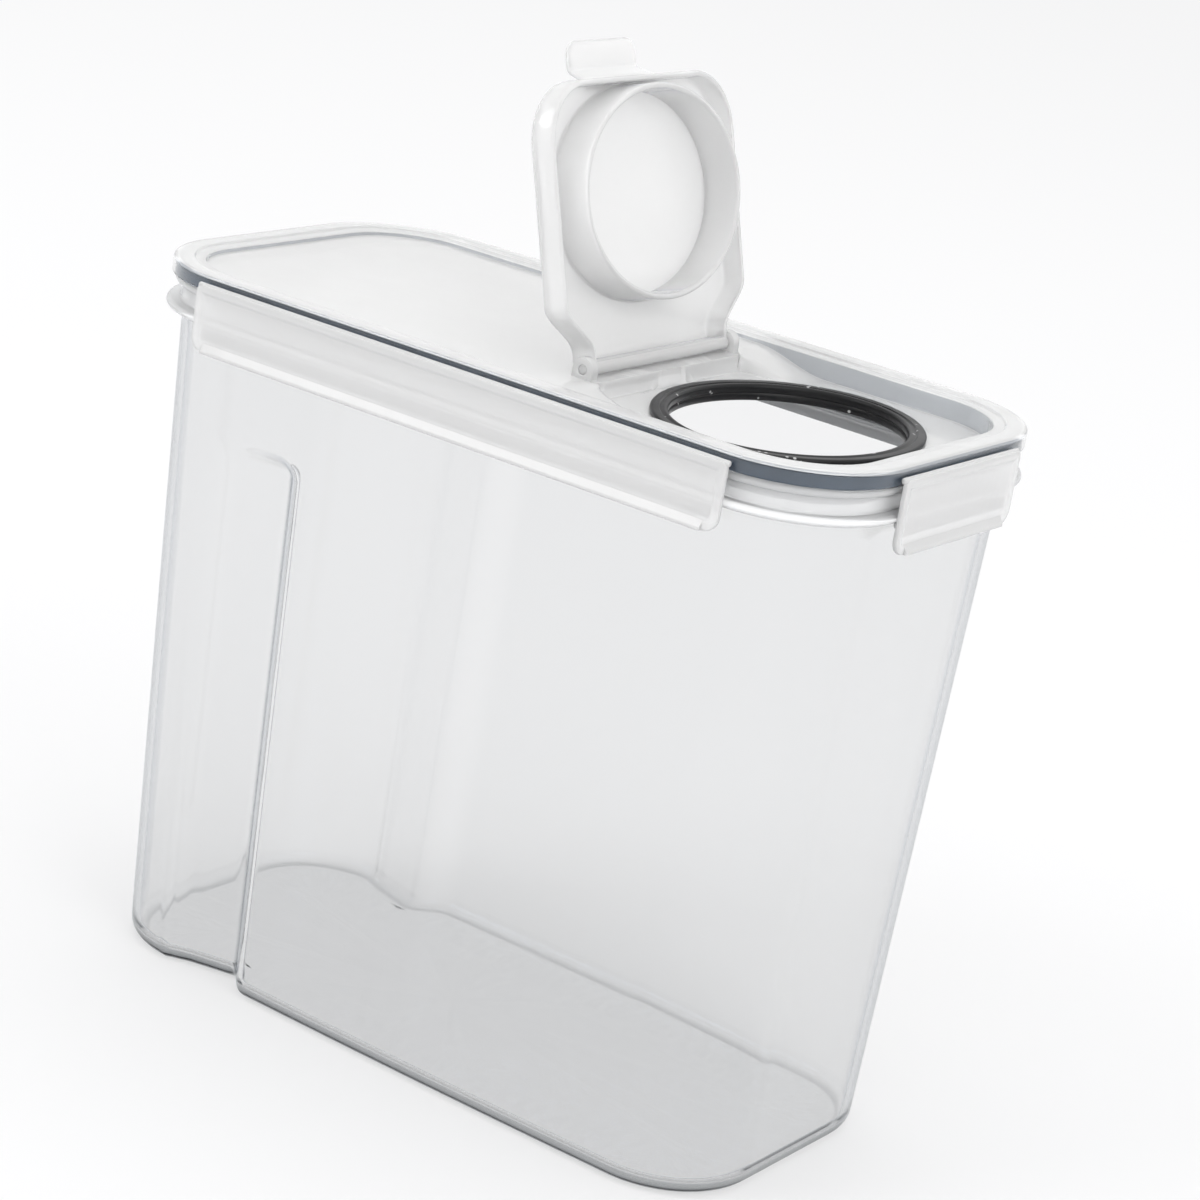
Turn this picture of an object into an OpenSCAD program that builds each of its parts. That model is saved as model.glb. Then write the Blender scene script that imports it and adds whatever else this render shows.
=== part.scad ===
// Dry food keeper with a lock-down lid and a flip spout.
// A tapered clear container with finger grips in both long sides carries a lid that four
// hinged flaps lock under the container's flange. The flip cap swings on two stub pins
// and closes the oval pour opening with a hollow plug.
// Frame: +Z up, +X toward the spout end, origin at the centre of the base. Millimetres.

/* [Lid outline] */
// Length of the lid over its outer edge
lid_l = 240; // [225:1:255]
// Width of the lid over its outer edge
lid_w = 122; // [116:0.2:128]
// Corner radius of the lid's outline
lid_r = 33; // [28:0.5:36]
// Height of the lid's top above the table
top_z = 211.4; // [190:0.2:235]

/* [Container] */
// Wall thickness of the container
wall = 2.2; // [1.6:0.1:2.8]
// Thickness of the container's base
base_t = 3; // [2:0.1:5]
// Distance from the lid's outline in to the container wall below the flange
neck_in = 4.1; // [3.6:0.1:5]
// How far the long-axis ends draw in from neck to base
taper_l = 4.6; // [2:0.1:9]
// How far the long sides draw in from neck to base
taper_w = 5; // [3:0.1:7]
// Rounding of the base's outer edge
foot_r = 5; // [3:0.25:7]
// Corner radius of the outline at the base
foot_corner_r = 29; // [24:0.5:31]
// Outward swell of the long sides at mid length
side_bow = 1; // [0:0.1:1.6]

/* [Flange] */
// How far the flange stands outside the lid's outline
flange_out = 0.7; // [0.3:0.05:1]
// Thickness of the flange
flange_t = 2.4; // [1.8:0.1:3]
// Depth of the flange's underside below the lid's top
flange_drop = 14.6; // [13:0.1:16]
// Thickness of the bead round the container's mouth
bead_t = 2.6; // [2:0.1:3.2]
// Distance from the lid's outline in to the bead's edge
bead_in = 1.2; // [0.8:0.1:2]

/* [Finger grips] */
// Depth of a grip at its step
grip_d = 7.6; // [5:0.2:10]
// Height of the grips' arched top above the table
grip_top = 168.5; // [140:0.5:176]
// Distance from the centre back to the middle of the grips' step
grip_x = 55.5; // [48:0.5:62]
// Length over which the step rises
step_l = 11; // [8:0.5:16]
// Height over which the grip fades in below its top
grip_fade = 9; // [6:0.5:14]

/* [Lid] */
// Thickness of the lid's shell
lid_t = 1.5; // [1.2:0.1:1.9]
// Thickness of the raised rim's top
rim_t = 1.2; // [1:0.05:1.4]
// Height of the lid's outer skirt
skirt_h = 4.8; // [4.2:0.1:5]
// Width of the raised rim round the lid
rim_w = 9.4; // [9:0.1:11]
// Depth of the rear deck below the rim's top
deck_drop = 2; // [1.8:0.1:2.3]
// Depth of the spout deck below the rim's top
spout_drop = 6.6; // [6:0.1:7.4]
// Thickness of the deck
deck_t = 1.8; // [1.4:0.1:2.2]
// Depth of the inner wall below the rim's top
plug_wall_h = 11; // [10:0.1:13]
// Distance from the hinge axis to the step between the decks
step_ahead = 5.6; // [5:0.1:6.4]
// Length of the ramp that joins the decks on each side of the hinge
ramp_l = 24; // [16:0.5:28]

/* [Spout] */
// Distance from the lid's end to the middle of the pour opening
spout_in = 52; // [51:0.25:54]
// Half length of the clear way through the spout seal, along the lid
spout_l = 30; // [28:0.1:30.4]
// Half width of the clear way through the spout seal, across the lid
spout_w = 37.6; // [34:0.1:38.4]
// Thickness of the seal's throat
seal_t = 1.6; // [1.4:0.1:2]
// Width of the seal's two lips beyond its throat
seal_lip = 3.4; // [2.4:0.1:3.8]
// Thickness of a lip of the spout seal
lip_t = 1.5; // [1.2:0.1:1.8]

/* [Flip cap] */
// Half the width of the flip cap
cap_half_w = 43.2; // [42:0.2:45]
// Distance from the hinge axis to the cap's free end
cap_len = 76; // [75.6:0.1:79]
// Height of the cap's outer face above the hinge axis when shut
cap_rise = 6.4; // [6:0.1:6.8]
// Thickness of the cap's plate
cap_t = 2; // [1.6:0.1:2.4]
// Depth of the cap's skirt
cap_skirt = 8.2; // [7.4:0.1:8.6]
// Thickness of the cap's skirt
cap_skirt_t = 1.8; // [1.4:0.1:2.2]
// Rounding of the cap's outer edge
cap_edge = 2.4; // [1.6:0.1:3]
// Corner radius at the cap's free end
cap_r = 17; // [12:0.5:20]
// Half the width of the cap's neck between the ears
neck_half_w = 32.4; // [30:0.1:34]
// Length of the neck's straight sides beside the hinge
neck_l = 4; // [3.8:0.1:6]
// Length over which the neck widens to the cap
flare_l = 13; // [10:0.5:16]
// Gap between the plug and the seal's throat
plug_gap = 0.8; // [0.5:0.05:1]
// Wall of the hollow plug
plug_t = 1.6; // [1.2:0.1:2]
// Depth of the plug below the cap's outer face
plug_h = 13.3; // [12.6:0.1:13.8]
// Width of the thumb tab
tab_w = 30; // [22:0.5:34]
// Rise of the thumb tab's step
tab_rise = 6; // [4:0.25:8]
// Length of the thumb tab past its step
tab_l = 6.5; // [5:0.25:8]
// Thickness of the thumb tab
tab_t = 1.8; // [1.4:0.1:2.2]
// Corner radius of the thumb tab
tab_r = 4; // [2:0.25:5]
// Angle the cap has swung open from shut
open_angle = 106.5; // [100:0.1:108]

/* [Hinge] */
// Height of the hinge axis above the lid's top
axis_up = 0.4; // [0.3:0.05:0.7]
// Distance from the middle of the pour opening back to the hinge axis
hinge_back = 44.4; // [44:0.1:45]
// Radius of the cap's hinge barrel
barrel_r = 2; // [1.8:0.05:2.1]
// Radius of the stub pins
pin_r = 1.3; // [1.1:0.05:1.5]
// Radial running clearance of the pins
pin_gap = 0.06; // [0.03:0.01:0.09]
// Thickness of an ear
ear_t = 3; // [2.4:0.1:4]
// Outer radius of an ear
ear_r = 3.4; // [3:0.1:3.6]
// Gap between the cap's neck and each ear
ear_gap = 0.3; // [0.2:0.05:0.6]

/* [Lock flaps] */
// Distance from the lid's end to the near end of a long flap
long_flap_in = 30; // [28:0.5:44]
// Distance from the lid's side to the near end of an end flap
end_flap_in = 31.5; // [30:0.5:40]
// Depth of the long flaps' lower edge below the lid's top
long_flap_drop = 21.4; // [20:0.1:24]
// Depth of the end flaps' lower edge below the lid's top
end_flap_drop = 22.8; // [20:0.1:26]
// Thickness of a flap
flap_t = 1.5; // [1.2:0.1:1.8]
// Depth of the flap's hinge line below the lid's top
hinge_drop = 2.8; // [2.4:0.1:3.2]
// Radius of the flap's rolled top edge
roll_r = 0.9; // [0.7:0.05:1.1]
// Gap between the flap and what it passes
flap_gap = 0.4; // [0.3:0.05:0.8]
// How far the hook reaches under the flange
hook_in = 1.8; // [1.4:0.1:2.2]
// Height of the hook
hook_h = 3; // [2:0.1:3.4]
// Distance from a flap's end to the end of its hook
hook_end_in = 3; // [2:0.25:6]
// How far the finger lip stands out from the flap
finger_out = 0.9; // [0.6:0.1:1.2]
// Height of the finger lip's sloping back
finger_h = 3; // [2:0.1:4]
// Depth of a flap's sunk middle below its border
sink = 0.4; // [0.2:0.05:0.6]
// Width of the raised border round a flap
border_w = 2.6; // [1.8:0.1:3.4]
// Corner radius of the flaps' lower edge
flap_r = 4.5; // [3:0.25:6]

/* [Gasket] */
// Gap between the gasket and the lid round it
gasket_gap = 0.1; // [0.05:0.05:0.2]
// Depth of the gasket's sealing lip below the lid's top
gasket_lip_drop = 9; // [8:0.1:10.4]

/* [Hidden] */
$fn = 72;
rim_z = top_z - skirt_h - 0.2;          // container's mouth
flange_z = top_z - flange_drop;         // underside of the flange
corner_n = 9;                           // facets of a plan corner
spout_x = lid_l / 2 - spout_in;
axis_x = spout_x - hinge_back;
axis_z = top_z + axis_up;
deck_step_x = axis_x + step_ahead;
deck_z = top_z - deck_drop;
spout_z = top_z - spout_drop;
oval_n = 60;                            // facets round the pour opening
hinge_half = neck_half_w + ear_gap + ear_t;   // half width over the ears
channel_z = rim_t + 0.5;                 // channel's top beside the inner wall
step_run = 1.2;                         // run of the step between the ears
ramp_x = deck_step_x + ramp_l / 4;      // middle of the ramps beside the hinge
flap_at = flange_out + flap_gap;        // inner face of a flap, outside the lid's outline
roll_at = ear_gap + roll_r;             // flap hinge axis, outside the lid's outline
long_flap_l = lid_l - 2 * long_flap_in;
end_flap_l = lid_w - 2 * end_flap_in;

clear_c = [0.86, 0.89, 0.92, 0.45];
milky_c = [0.93, 0.94, 0.95, 0.7];
blue_c = [0.30, 0.37, 0.45];
black_c = [0.05, 0.05, 0.05];

// ---- general helpers ----

function lerp(a, b, t) = a + (b - a) * t;
function ease(t) = let (u = min(1, max(0, t))) u * u * (3 - 2 * u);

// Closed solid through a stack of rings that all have the same number of points.
module loft(rings) {
    n = len(rings[0]);
    m = len(rings);
    pts = [for (r = rings) each r];
    sides = [for (k = [0:m - 2]) for (i = [0:n - 1]) let (j = (i + 1) % n)
             each [[k * n + i, k * n + j, (k + 1) * n + j], [k * n + i, (k + 1) * n + j, (k + 1) * n + i]]];
    c0 = [for (i = [n - 1:-1:0]) i];
    c1 = [for (i = [0:n - 1]) (m - 1) * n + i];
    polyhedron(points = pts, faces = [for (f = sides) [f[2], f[1], f[0]], [for (i = [n - 1:-1:0]) c0[i]],
                                      [for (i = [n - 1:-1:0]) c1[i]]], convexity = 8);
}

// Rounded rectangle of the lid's outline, moved inward by inset.
module plan(inset = 0) {
    l = lid_l - 2 * inset;
    w = lid_w - 2 * inset;
    r = lid_r - inset;
    square([l - 2 * r, w], center = true);
    square([l, w - 2 * r], center = true);
    for (sx = [-1, 1]) for (sy = [-1, 1])
        translate([sx * (l / 2 - r), sy * (w / 2 - r)]) circle(r);
}

// Oval of the pour opening, moved outward by off.
function oval(off) = [for (i = [0:oval_n - 1]) let (a = 360 * i / oval_n)
                      [(spout_l + off) * cos(a), (spout_w + off) * sin(a)]];

// Sweeps a closed profile round that oval. In the profile, x = 0 is the clear way's edge,
// x grows outward and y is the height; its points run counter-clockwise.
module oval_ring(profile) {
    m = len(profile);
    pts = [for (i = [0:oval_n - 1]) for (p = profile) concat(oval(p[0])[i], [p[1]])];
    polyhedron(points = pts, convexity = 8, faces =
        [for (i = [0:oval_n - 1]) for (k = [0:m - 1])
         let (j = (i + 1) % oval_n, l = (k + 1) % m)
         each [[i * m + k, i * m + l, j * m + l], [i * m + k, j * m + l, j * m + k]]]);
}

// Sweeps a profile round the lid's outline. In the profile, x = 0 is the outline,
// x grows outward and y is the height below the lid's top.
module round_lid(profile) {
    cx = lid_l / 2 - lid_r;
    cy = lid_w / 2 - lid_r;
    for (k = [0:3]) {
        sx = (k == 0 || k == 3) ? 1 : -1;
        sy = (k < 2) ? 1 : -1;
        translate([sx * cx, sy * cy, top_z]) rotate([0, 0, 90 * k])
            rotate_extrude(angle = 90) translate([lid_r, 0]) polygon(profile);
    }
    for (s = [0, 180]) rotate([0, 0, s]) {
        translate([lid_l / 2, cy, top_z]) rotate([90, 0, 0])
            linear_extrude(2 * cy) polygon(profile);
        translate([-cx, lid_w / 2, top_z]) rotate([90, 0, 90])
            linear_extrude(2 * cx) polygon(profile);
    }
}

// ---- container ----

// Sideways depth of a finger grip at a place on the long side.
function grip(x, z) =
    let (back = -(lid_l / 2 - lid_r),
         s0 = -grip_x - step_l / 2,
         along = x < s0 ? (x - back) / (s0 - back) : 1 - ease((x - s0) / step_l),
         up = ease((grip_top - z) / grip_fade))
    grip_d * max(0, along) * up;

// Outward swell of the long sides, nil at the corners.
function swell(x, hx) = let (u = x / hx) side_bow * max(0, 1 - u * u);

// Stations along a long side, from the back corner to the front one, as shares that
// crowd round the grip's step.
function stations(x0, x1) =
    let (s0 = -grip_x - step_l / 2, s1 = -grip_x + step_l / 2)
    [for (t = [1:3]) lerp(x0, s0, t / 4), for (t = [0:6]) lerp(s0, s1, t / 6),
     for (t = [1:4]) lerp(s1, x1, t / 5)];

// One ring of the container, counter-clockwise: outline inset, corner radius and height.
function body_ring(il, iw, r, z, off) =
    let (hx = lid_l / 2 - il, hy = lid_w / 2 - iw,
         xs = stations(-(hx - r), hx - r), m = len(xs))
    [for (i = [0:corner_n]) let (a = -90 + 90 * i / corner_n)
         [hx - r + r * cos(a), -(hy - r) + r * sin(a), z],
     for (i = [0:corner_n]) let (a = 90 * i / corner_n)
         [hx - r + r * cos(a), hy - r + r * sin(a), z],
     for (i = [m - 1:-1:0]) [xs[i], hy + swell(xs[i], hx - r) * off[1] - grip(xs[i], z) * off[0], z],
     for (i = [0:corner_n]) let (a = 90 + 90 * i / corner_n)
         [-(hx - r) + r * cos(a), hy - r + r * sin(a), z],
     for (i = [0:corner_n]) let (a = 180 + 90 * i / corner_n)
         [-(hx - r) + r * cos(a), -(hy - r) + r * sin(a), z],
     for (i = [0:m - 1]) [xs[i], -hy - swell(xs[i], hx - r) * off[1] + grip(xs[i], z) * off[0], z]];

// A wall ring: the taper is read off the height, and depth moves it inward.
function wall_ring(z, depth) =
    let (t = max(0, (flange_z - z) / flange_z),
         r = lerp(lid_r - neck_in, foot_corner_r, t))
    body_ring(neck_in + taper_l * t + depth, neck_in + taper_w * t + depth, r - depth, z, [1, ease(t * 6)]);

// A ring above the flange, straight round the lid's outline.
function rim_ring(z, inset) = body_ring(inset, inset, lid_r - inset, z, [0, 0]);

grip_zs = [for (i = [1:5]) grip_top - grip_fade * (1 - i / 5)];
wall_zs = [for (i = [1:3]) lerp(foot_r, grip_top - grip_fade, i / 3)];

module container_body() {
    fr = flange_t / 2;
    br = bead_t / 2;
    outer = concat(
        [for (i = [0:4]) let (a = 90 * i / 4) wall_ring(foot_r * (1 - cos(a)), foot_r * (1 - sin(a)))],
        [for (z = wall_zs) wall_ring(z, 0)],
        [for (z = grip_zs) wall_ring(z, 0)],
        [wall_ring(flange_z - 1.2, 0), rim_ring(flange_z, neck_in - 1)],
        [for (i = [0:4]) let (a = -90 + 180 * i / 4)
            rim_ring(flange_z + fr + fr * sin(a), -flange_out + fr - fr * cos(a))],
        [rim_ring(flange_z + flange_t, neck_in - 0.8), rim_ring(rim_z - bead_t, neck_in - 0.8)],
        [for (i = [0:4]) let (a = -90 + 180 * i / 4)
            rim_ring(rim_z - br + br * sin(a), bead_in + br - br * cos(a))]);
    ir = foot_r - wall / 2;
    inner = concat(
        [rim_ring(rim_z, neck_in + wall), rim_ring(flange_z, neck_in + wall)],
        [for (i = [4:-1:0]) wall_ring(grip_zs[i], wall)],
        [for (i = [2:-1:1]) wall_ring(wall_zs[i], wall)],
        [for (i = [4:-1:0]) let (a = 90 * i / 4)
            wall_ring(base_t + ir * (1 - cos(a)), wall + ir * (1 - sin(a)))]);
    color(clear_c) loft(concat(outer, inner));
}

// ---- lid ----

// Cross-section of the lid's raised rim: skirt, top and inner wall.
function rim_profile() = let (b = 1.3)
    [[0, -skirt_h], for (i = [0:4]) let (a = 90 * i / 4) [-b + b * cos(a), -b + b * sin(a)],
     [-rim_w * 0.66, 0], [-rim_w * 0.7, -0.5], [-rim_w + 0.5, -0.7], [-rim_w, -1.2],
     [-rim_w, -plug_wall_h], [-rim_w + lid_t, -plug_wall_h], [-rim_w + lid_t, -channel_z],
     [-rim_w * 0.66, -rim_t], [-lid_t, -rim_t], [-lid_t, -skirt_h]];

// Height of a deck that falls by an eased ramp centred on x0.
function ramp_z(x, x0, run) = lerp(deck_z, spout_z, ease((x - x0) / run + 0.5));
function ramp_line(x0, run) =
    concat([[-lid_l / 2, deck_z]],
           [for (i = [0:8]) let (x = x0 - run / 2 + run * i / 8) [x, ramp_z(x, x0, run)]],
           [[lid_l / 2, spout_z]]);

// A deck plate of even thickness under a height line, from y0 over the given width.
module deck_slab(y0, width, line) {
    n = len(line) - 1;
    translate([0, y0 + width, 0]) rotate([90, 0, 0]) linear_extrude(width)
        polygon(concat(line, [for (i = [n:-1:0]) [line[i][0], line[i][1] - deck_t]]));
}

// Upright wall between the stepped middle of the deck and the ramp beside it.
module deck_cheek(side) {
    x0 = ramp_x - ramp_l / 2;
    x1 = ramp_x + ramp_l / 2;
    top = [for (i = [0:8]) let (x = lerp(deck_step_x + step_run / 2, x1, i / 8)) [x, ramp_z(x, ramp_x, ramp_l)]];
    translate([0, side > 0 ? hinge_half : -hinge_half + deck_t, 0]) rotate([90, 0, 0]) linear_extrude(deck_t)
        polygon(concat([[x0, deck_z], [deck_step_x, deck_z]], top,
                       [[x1, spout_z - deck_t], [x0, spout_z - deck_t]]));
}

module ear(side) {
    y = neck_half_w + ear_gap;
    foot = axis_z - deck_z + deck_t / 2;
    translate([axis_x, side > 0 ? y + ear_t : -y, axis_z]) rotate([90, 0, 0]) {
        cylinder(r = ear_r, h = ear_t);
        translate([-ear_r, -foot, 0]) cube([2 * ear_r, foot, ear_t]);
    }
}

module lid() {
    clip = lid_l;
    color(milky_c) difference() {
        union() {
            round_lid(rim_profile());
            // deck: ramps to the spout deck beside the hinge, a step between the ears
            intersection() {
                translate([0, 0, spout_z - deck_t]) linear_extrude(top_z - spout_z + deck_t) plan(rim_w - lid_t / 2);
                union() {
                    for (y = [-clip / 2, hinge_half - deck_t / 2])
                        deck_slab(y, clip / 2 - hinge_half + deck_t / 2, ramp_line(ramp_x, ramp_l));
                    deck_slab(-hinge_half, 2 * hinge_half, ramp_line(deck_step_x, step_run));
                    for (s = [-1, 1]) deck_cheek(s);
                }
            }
            for (s = [-1, 1]) ear(s);
        }
        translate([spout_x, 0, spout_z - 2 * deck_t]) linear_extrude(3 * deck_t)
            polygon(oval(seal_t + gasket_gap));
        bore = 2 * hinge_half + 2;
        translate([axis_x, bore / 2, axis_z]) rotate([90, 0, 0]) cylinder(r = pin_r + pin_gap, h = bore);
    }
}

// Soft ring in the lid's channel: a flat band on the container's mouth and a lip inside it.
module lid_gasket() {
    g = gasket_gap;
    a = -lid_t - g;
    b = -rim_w + lid_t + g;
    t = -rim_t - g;
    m = -neck_in - wall - 0.3;
    color(blue_c) round_lid([[a, rim_z - top_z], [a, t - 0.3], [a - 0.3, t], [-rim_w * 0.66, t],
                             [b + 0.1, -channel_z - g], [b, -channel_z - 2 * g],
                             [b, -gasket_lip_drop], [m, -gasket_lip_drop], [m, rim_z - top_z]]);
}

// Rubber ring that grips the edge of the pour opening between two lips.
module spout_seal() {
    out = seal_t + seal_lip;
    hi = spout_drop - lip_t;
    under = spout_drop + deck_t;
    c = lip_t / 2;
    color(black_c) translate([spout_x, 0, top_z]) oval_ring(concat(
        [[0, -under], [c, -under - lip_t], [out - c, -under - lip_t], [out - c / 2, -under - c],
         [out - c / 2, -under], [seal_t, -under], [seal_t, -spout_drop]],
        [for (i = [0:5]) let (a = -90 + 180 * i / 5) [out - c + c * cos(a), -hi - c + c * sin(a)]],
        [[c, -hi], [0, -hi - c]]));
}

// ---- flip cap, drawn shut about its hinge axis and swung open ----

// Half width of the cap at a distance from the hinge axis.
function cap_half(x) = lerp(neck_half_w, cap_half_w, ease((x - neck_l) / flare_l));

// Cap outline moved inward by d, counter-clockwise from the back right.
function cap_outline(d) =
    let (n = 14, m = 8, r = cap_r - d, xe = cap_len - d, side = xe - r)
    concat(
        [for (i = [0:n]) let (x = lerp(d, side, i / n)) [x, -(cap_half(x) - d)]],
        [for (i = [1:m]) let (a = -90 + 90 * i / m) [side + r * cos(a), -(cap_half_w - d - r) + r * sin(a)]],
        [for (i = [0:m - 1]) let (a = 90 * i / m) [side + r * cos(a), cap_half_w - d - r + r * sin(a)]],
        [for (i = [n:-1:0]) let (x = lerp(d, side, i / n)) [x, cap_half(x) - d]]);
function cap_ring(d, z) = [for (p = cap_outline(d)) [p[0], p[1], z]];

// The cap's plate and skirt in one shell, with a soft outer edge.
module cap_shell() {
    low = cap_rise - cap_skirt;
    under = cap_rise - cap_t;
    st = cap_skirt_t;
    e = cap_edge;
    loft(concat(
        [cap_ring(st * 1.5, under), cap_ring(st, under - st / 2), cap_ring(st * 0.8, low + st / 8),
         cap_ring(st / 2, low), cap_ring(st / 6, low + st / 6)],
        [for (i = [0:5]) let (a = 90 * i / 5) cap_ring(e - e * cos(a), cap_rise - e + e * sin(a))]));
}

// Tab that steps up from the cap's free end; its section is extruded, then rounded in plan.
module thumb_tab() {
    r = cap_rise;
    x0 = cap_len - tab_t * 1.2;
    x1 = cap_len + tab_t * 1.3;
    end = x1 + tab_l;
    top = r + tab_rise;
    intersection() {
        translate([0, tab_w / 2, 0]) rotate([90, 0, 0]) linear_extrude(tab_w)
            polygon([[x0, r - tab_t], [cap_len - tab_t / 4, r - tab_t], [x1 + tab_t / 3, top - tab_t],
                     [end, top - tab_t], [end, top], [x1 - tab_t / 3, top], [x0, r]]);
        translate([0, 0, r - 2 * tab_t]) linear_extrude(tab_rise + 3 * tab_t) union() {
            translate([x0, -tab_w / 2]) square([end - tab_r - x0, tab_w]);
            translate([x0, -tab_w / 2 + tab_r]) square([end - x0, tab_w - 2 * tab_r]);
            for (s = [-1, 1]) translate([end - tab_r, s * (tab_w / 2 - tab_r)]) circle(tab_r);
        }
    }
}

module flip_cap() {
    pin_l = hinge_half - ear_t / 15;
    in = -plug_gap - plug_t;
    top = plug_h - cap_t / 2;
    c = plug_t / 4;
    color(milky_c) translate([axis_x, 0, axis_z]) rotate([0, -open_angle, 0]) union() {
        cap_shell();
        thumb_tab();
        // hinge barrel, its web to the plate, and the stub pins
        translate([0, neck_half_w, 0]) rotate([90, 0, 0]) cylinder(r = barrel_r, h = 2 * neck_half_w);
        translate([0, -neck_half_w, 0]) cube([barrel_r, 2 * neck_half_w, cap_rise - cap_t / 2]);
        translate([0, pin_l, 0]) rotate([90, 0, 0]) cylinder(r = pin_r, h = 2 * pin_l);
        // hollow plug
        translate([hinge_back, 0, cap_rise - plug_h]) oval_ring([
            [in, c], [in + c, 0], [-plug_gap - 2 * c, 0], [-plug_gap, 2 * c], [-plug_gap, top], [in, top]]);
    }
}

// ---- lock flaps ----

// One flap drawn for an edge along X at y = 0 with the outside toward -Y; heights from
// the lid's top. The rolled top edge is the hinge.
module lock_flap(length, drop) {
    hook_z = -flange_drop - 0.3;             // top of the hook
    tip = -flap_at + hook_in + flap_gap;     // how far in the hook reaches
    face = -flap_at - flap_t;                // outer face
    difference() {
        union() {
            // panel with round lower corners
            translate([0, -flap_at, 0]) rotate([90, 0, 0]) linear_extrude(flap_t) union() {
                translate([-length / 2, -drop + flap_r]) square([length, drop - flap_r - hinge_drop]);
                translate([-length / 2 + flap_r, -drop]) square([length - 2 * flap_r, flap_r * 1.2]);
                for (s = [-1, 1]) translate([s * (length / 2 - flap_r), -drop + flap_r]) circle(flap_r);
            }
            // rolled top edge
            translate([-length / 2, -roll_at, -hinge_drop]) rotate([0, 90, 0]) cylinder(r = roll_r, h = length);
            // catch hook
            translate([-length / 2 + hook_end_in, 0, 0]) rotate([90, 0, 90])
                linear_extrude(length - 2 * hook_end_in)
                polygon([[-flap_at - flap_t / 3, hook_z], [tip - hook_h / 6, hook_z], [tip, hook_z - hook_h / 5],
                         [tip - hook_h / 10, hook_z - hook_h * 0.4], [-flap_at - flap_t / 3, hook_z - hook_h]]);
            // finger lip
            translate([-length / 2 + flap_r, 0, 0]) rotate([90, 0, 90]) linear_extrude(length - 2 * flap_r)
                polygon([[face + flap_t / 3, -drop], [face + flap_t / 3, -drop + finger_h],
                         [face - finger_out, -drop + finger_out], [face - finger_out, -drop]]);
        }
        // sunk panel inside a raised border
        translate([-length / 2 + border_w, face - 0.1, -drop + border_w + finger_h / 2])
            cube([length - 2 * border_w, sink + 0.1, drop - hinge_drop - 2 * border_w - finger_h / 2]);
    }
}
module at_edge(half, turn) {
    rotate([0, 0, turn]) translate([0, -half, top_z]) children();
}

module lock_front() { color(milky_c) at_edge(lid_w / 2, 0) lock_flap(long_flap_l, long_flap_drop); }
module lock_back() { color(milky_c) at_edge(lid_w / 2, 180) lock_flap(long_flap_l, long_flap_drop); }
module lock_spout_end() { color(milky_c) at_edge(lid_l / 2, 90) lock_flap(end_flap_l, end_flap_drop); }
module lock_rear_end() { color(milky_c) at_edge(lid_l / 2, -90) lock_flap(end_flap_l, end_flap_drop); }

container_body();
lid();
lid_gasket();
spout_seal();
flip_cap();
lock_front();
lock_back();
lock_spout_end();
lock_rear_end();
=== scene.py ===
"""Looks of a dry food keeper with a lock-down lid and a flip spout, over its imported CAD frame.

Lengths in the classes below are millimetres in the frame that the solids share: +Z up, +X
toward the spout end, origin at the centre of the base. Meshes are written in metres.
"""

import logging
import math
from dataclasses import dataclass, field
from enum import Enum
from typing import ClassVar, Iterable, Sequence

import bpy
import numpy as np
from mathutils import Matrix, Vector


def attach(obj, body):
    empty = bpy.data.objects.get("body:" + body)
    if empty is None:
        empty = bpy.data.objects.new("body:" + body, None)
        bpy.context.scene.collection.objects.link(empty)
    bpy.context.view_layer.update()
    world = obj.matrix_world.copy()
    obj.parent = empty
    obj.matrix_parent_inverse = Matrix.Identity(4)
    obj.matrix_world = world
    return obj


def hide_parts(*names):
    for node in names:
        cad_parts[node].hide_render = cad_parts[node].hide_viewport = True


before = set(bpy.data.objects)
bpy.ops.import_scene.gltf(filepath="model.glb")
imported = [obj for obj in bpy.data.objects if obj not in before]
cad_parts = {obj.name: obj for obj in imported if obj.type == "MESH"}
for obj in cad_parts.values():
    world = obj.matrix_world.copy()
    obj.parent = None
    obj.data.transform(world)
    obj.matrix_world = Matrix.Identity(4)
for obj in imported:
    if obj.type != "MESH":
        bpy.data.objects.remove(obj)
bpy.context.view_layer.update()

MM = 0.001
LOG = logging.getLogger("keeper")

Colour = tuple[float, float, float]
Place = tuple[float, float, float]
Points = list[tuple[float, float]]
Groups = dict[str, bpy.types.NodeTree]


# ---- sizes


@dataclass(frozen=True)
class Sizes:
    """Driving sizes shared by the pieces, in millimetres."""

    lid_l: float = 240.0
    lid_w: float = 122.0
    lid_r: float = 33.0
    top: float = 211.4
    skirt: float = 4.8
    rim_w: float = 9.4
    deck: float = 2.0
    spout_deck: float = 6.6
    deck_t: float = 1.8
    shell: float = 1.5
    rim_t: float = 1.2
    plug_wall: float = 11.0
    step_x: float = 29.2
    spout_x: float = 68.0
    spout_l: float = 30.0
    spout_w: float = 37.6
    seal_t: float = 1.6
    seal_lip: float = 3.4
    lip_t: float = 1.5
    axis_x: float = 23.6
    axis_up: float = 0.4
    neck_half: float = 32.4
    ear_gap: float = 0.3
    ear_t: float = 3.0
    ear_r: float = 3.4
    pin_r: float = 1.3
    pin_gap: float = 0.06
    neck_in: float = 4.1
    wall: float = 2.2
    flange_out: float = 0.7
    flange_drop: float = 14.6
    flange_t: float = 2.4
    flap_gap: float = 0.4
    flap_t: float = 1.5
    hinge_drop: float = 2.8
    roll_r: float = 0.9

    @property
    def hinge_half(self) -> float:
        """Half width over the two hinge ears."""
        return self.neck_half + self.ear_gap + self.ear_t

    @property
    def flap_at(self) -> float:
        """Distance of a flap's inner face outside the lid's outline."""
        return self.flange_out + self.flap_gap

    @property
    def mouth(self) -> float:
        """Height of the container's mouth."""
        return self.top - self.skirt - 0.2


SIZES = Sizes()


# ---- mesh helpers


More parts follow.
